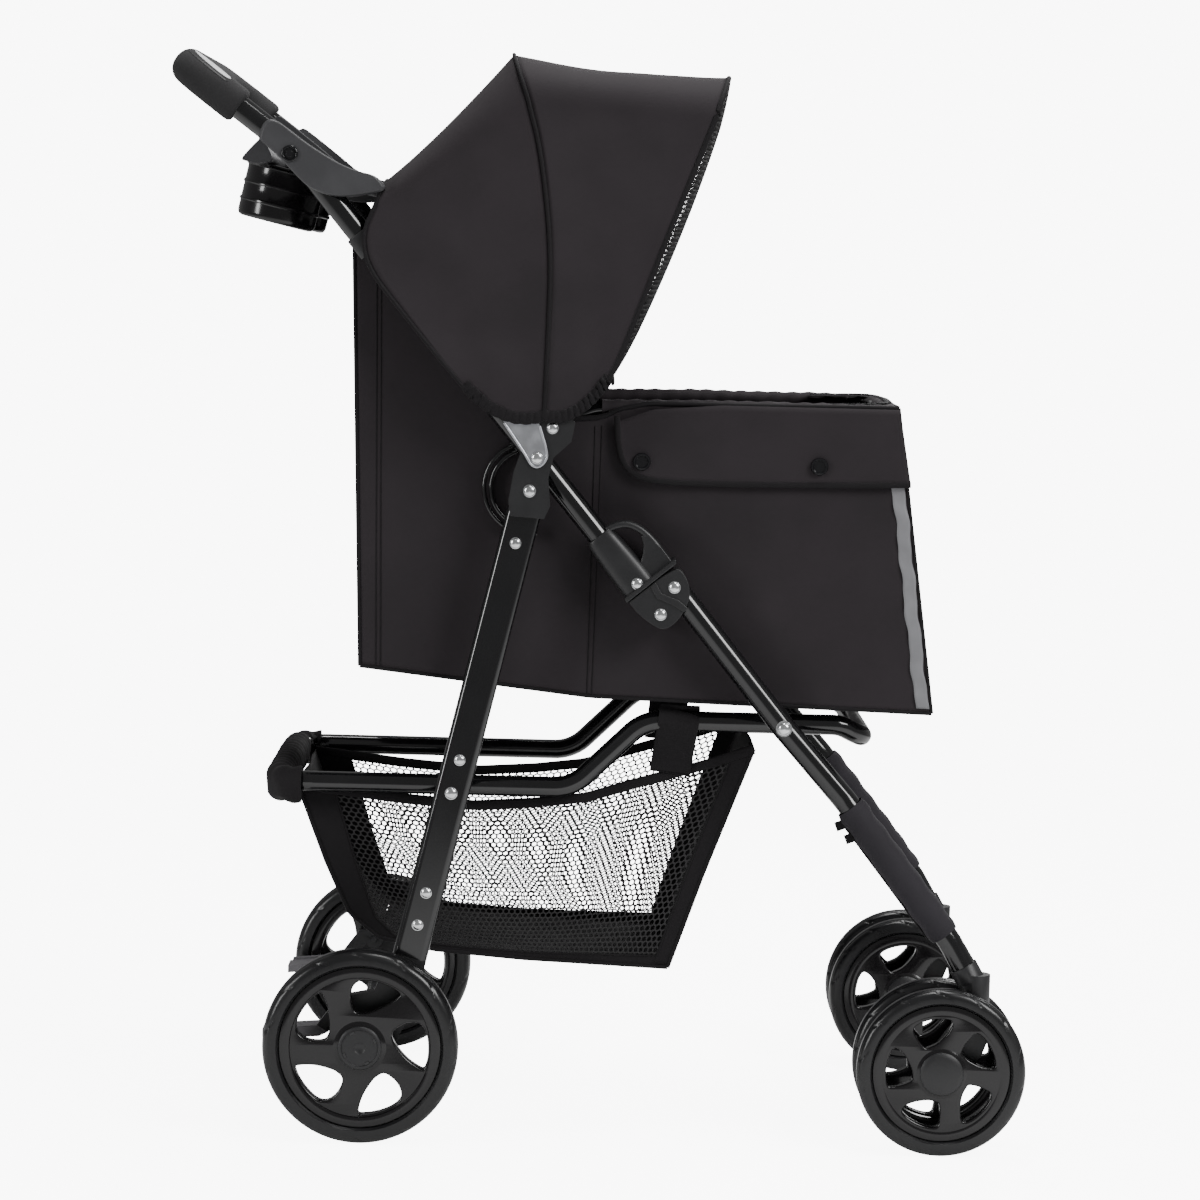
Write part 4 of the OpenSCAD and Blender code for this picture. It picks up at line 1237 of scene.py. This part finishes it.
def make_locks():
    """Each sliding fold lock: a moulded sleeve on the tube with a finger loop, a collar, and its lower bracket."""
    for word, side in SIDES:

        def slab(form, outline, y0, y1):
            """A flat plate on the handle tube, y0 to y1 from the tube's middle."""
            form.plate(outline, side * TUBE_Y + y0, side * TUBE_Y + y1, place=on_tube)

        form = Form()
        stations = [(27, 14.2, 15.2), (30, 14.4, 15.6), (45, 14, 15.4), (62, 13.4, 14.6), (78, 12.8, 13.6),
                    (85, 12.2, 12.6), (86.5, 11.6, 11.8)]
        form.grid([[on_tube(s, o, side * (TUBE_Y + y)) for y, o in oval(half_y, half_o, 3.4, 36)]
                   for s, half_y, half_o in stations], close_v=True, caps=True)
        form.sweep([on_tube(s, o, side * TUBE_Y) for s, o in smooth_path(LATCH_STRAP, 30)],
                   oval(9.4, 3.3, 3.6, 20), up=FOLD_AXIS)
        block = [(28, 10), (28, 36), (44, 36.5), (60, 34), (64, 29), (57, 26), (51, 21), (46, 14), (50, 10)]
        slab(form, block, -9.4, 9.4)
        slab(form, [(26.2, -17), (26.2, 38), (29.5, 40), (30.5, 38), (30.5, -16)], -16.6, 16.6)
        o = piece("fold_lock_" + word, form, "plastic_dark", "latch_" + word, angle=34, bevel=1.1)
        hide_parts("fold_latch_" + word)
        stud = Form()
        x, z = np.array(LOCK) + 33.5 * UP + 0.6 * OUT
        stud.lathe([(r, side * y) for r, y in dome_profile(4.6, 2.9)], at(x, z, side * (TUBE_Y + 14.2)), n=28)
        piece("fold_lock_rivet_" + word, stud, "steel", "latch_" + word, angle=60)
        lower = Form()
        outline = [(25.4, -15), (13, -15.4), (-8, -10), (-14, -3), (-13, 12), (-6, 27), (2, 34), (12, 37.5),
                   (25.4, 37.5)]
        slab(lower, rounded(outline, 60), -14.4, 14.4)
        ridge = [(25, 14), (14, 12), (0, 20), (-10, 22), (-11, 17), (0, 13), (13, 6), (25, 8)]
        slab(lower, ridge, 14.3, 15.7)
        slab(lower, ridge, -15.7, -14.3)
        b = piece("fold_bracket_shell_" + word, lower, "plastic_dark", "front_legs", angle=34, bevel=1.2)
        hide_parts("fold_bracket_" + word)


SLEEVE = ((416.4, 304), (510.4, 184))


def make_sleeves():
    """The soft sleeves on the lower front legs, sewn along the back, each with two small tabs."""
    a, b = np.array(SLEEVE)
    length = np.linalg.norm(b - a)
    d = (b - a) / length
    n = np.array([-d[1], d[0]])
    for word, side in SIDES:
        y_a, y_b = side * TUBE_Y, side * (middle("caster_socket_left").y / MM - 2)

        def centre(s):
            return (*(a + d * s), y_a + (y_b - y_a) * s / length)

        def point(t, ang):
            x, z, y = centre(7 + t * (length - 14))
            around = np.array([cos(ang), sin(ang), 0])
            r = 13.6 - 1.2 * max(0, 1 - t / 0.04) - 1.2 * max(0, 1 - (1 - t) / 0.04)
            r += 0.7 * wobble(at(x, z, y) + 0.012 * around, 45, 3.1) + 0.5 * sin(t * 34 + 2 * ang)
            off = n * r * around[0]
            return at(x + off[0], z + off[1], y + r * around[1])

        form = Form().grid(surface(np.linspace(0, 1, 60), turns(30), point), close_v=True)
        o = piece("leg_sleeve_" + word, form, "sleeve_cloth", "front_legs", angle=60)
        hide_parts("leg_sleeves")
        tabs = Form()
        for s in (16, 30):
            start = a + d * s - n * 13.5
            path = [at(*(start - n * q - d * q * 0.3), centre(s)[2]) for q in np.linspace(0, 7, 6)]
            tabs.sweep(path, oval(0.8, 4.2, 4, 14), up=(d[0], 0, d[1]))
        seam = [at(*(a + d * s - n * 14.0), centre(s)[2]) for s in np.linspace(12, length - 12, 40)]
        tabs.sweep(seam, circle(1.0, 8), up=(0, 1, 0))
        piece("leg_sleeve_tabs_" + word, tabs, "binding_cloth", "front_legs", "sleeve_cloth", angle=50)


# ---- scene: camera, floor and light ----

PHOTO_WIDTH = 1200
FOCAL_PX = 3902


def make_camera():
    """The photograph's view: nearly square on to the side, from far away."""
    data = bpy.data.cameras.new("camera")
    data.sensor_width = 36
    data.lens = 36 * FOCAL_PX / PHOTO_WIDTH
    data.clip_end = 50
    cam = bpy.data.objects.new("camera", data)
    bpy.context.scene.collection.objects.link(cam)
    bpy.context.scene.camera = cam
    yaw, pitch, roll = (radians(v) for v in (0.53, 4.96, 1.46))
    ahead = Vector((sin(yaw), cos(yaw), 0))
    right = Vector((cos(yaw), -sin(yaw), 0))
    view = ahead * cos(pitch) - Vector((0, 0, 1)) * sin(pitch)
    up = Vector((0, 0, 1)) * cos(pitch) + ahead * sin(pitch)
    r = right * cos(roll) + up * sin(roll)
    u = up * cos(roll) - right * sin(roll)
    cam.matrix_world = Matrix((
        (r.x, u.x, -view.x, REAR_X + 0.167), (r.y, u.y, -view.y, -3.543), (r.z, u.z, -view.z, 0.767), (0, 0, 0, 1)))


def soft_light(name, place, aim, size, power):
    data = bpy.data.lights.new(name, "AREA")
    data.shape = "RECTANGLE"
    data.size, data.size_y = size
    data.energy = power
    o = bpy.data.objects.new(name, data)
    bpy.context.scene.collection.objects.link(o)
    o.location = place
    o.rotation_mode = "QUATERNION"
    o.rotation_quaternion = (Vector(aim) - Vector(place)).to_track_quat("-Z", "Y")


def make_floor():
    """White paper under the object that fades out into the white background."""
    bpy.ops.mesh.primitive_plane_add(size=8, location=(0, 0, 0))
    floor = bpy.context.object
    floor.name = "floor"
    paper, shader = new_material("floor_paper", (0.9, 0.9, 0.9), 0.9)
    link = paper.node_tree.links.new
    place = node(paper, "ShaderNodeTexCoord")
    ball = node(paper, "ShaderNodeTexGradient", gradient_type="SPHERICAL")
    shrink = node(paper, "ShaderNodeMapping")
    shrink.inputs["Scale"].default_value = (0.42, 0.42, 0.42)
    link(place.outputs["Object"], shrink.inputs["Vector"])
    link(shrink.outputs["Vector"], ball.inputs["Vector"])
    fade = node(paper, "ShaderNodeMapRange")
    fade.interpolation_type = "SMOOTHSTEP"
    fade.inputs["From Max"].default_value = 0.6
    link(ball.outputs["Fac"], fade.inputs["Value"])
    seen = node(paper, "ShaderNodeLightPath")
    bright = node(paper, "ShaderNodeMath", operation="MULTIPLY")
    bright.inputs[1].default_value = 8.0
    link(seen.outputs["Is Camera Ray"], bright.inputs[0])
    link(bright.outputs[0], shader.inputs["Emission Strength"])
    shader.inputs["Emission Color"].default_value = (1, 1, 1, 1)
    clear = node(paper, "ShaderNodeBsdfTransparent")
    mix = node(paper, "ShaderNodeMixShader")
    link(fade.outputs["Result"], mix.inputs[0])
    link(clear.outputs[0], mix.inputs[1])
    link(shader.outputs[0], mix.inputs[2])
    link(mix.outputs[0], paper.node_tree.nodes["Material Output"].inputs["Surface"])
    floor.data.materials.append(paper)


def make_studio():
    """A white background, a dimmer surround, and soft boxes that draw bright lines along the tubes."""
    make_floor()
    world = bpy.data.worlds.new("studio")
    bpy.context.scene.world = world
    world.use_nodes = True
    background = world.node_tree.nodes["Background"]
    background.inputs["Color"].default_value = (1, 1, 1, 1)
    ray = world.node_tree.nodes.new("ShaderNodeLightPath")
    spread = world.node_tree.nodes.new("ShaderNodeMapRange")
    spread.inputs["To Min"].default_value = 0.26
    spread.inputs["To Max"].default_value = 9.0
    world.node_tree.links.new(ray.outputs["Is Camera Ray"], spread.inputs["Value"])
    world.node_tree.links.new(spread.outputs["Result"], background.inputs["Strength"])
    soft_light("key", (2.4, -2.1, 2.5), (0, 0, 0.5), (1.5, 1.5), 105)
    soft_light("side", (-2.7, -1.6, 1.2), (0, 0, 0.5), (0.5, 1.5), 42)
    soft_light("top", (0.2, 0.1, 2.8), (0, 0, 0.5), (1.6, 0.7), 55)
    soft_light("rim", (1.2, 2.2, 1.8), (0, 0, 0.6), (1.0, 1.0), 30)


make_camera()
make_studio()
finish_cad_nodes()
make_wheels()
make_rivets()
make_canopy()
make_window()
make_cabin()
make_basket()
make_grip()
make_tray()
make_hub()
make_locks()
make_sleeves()
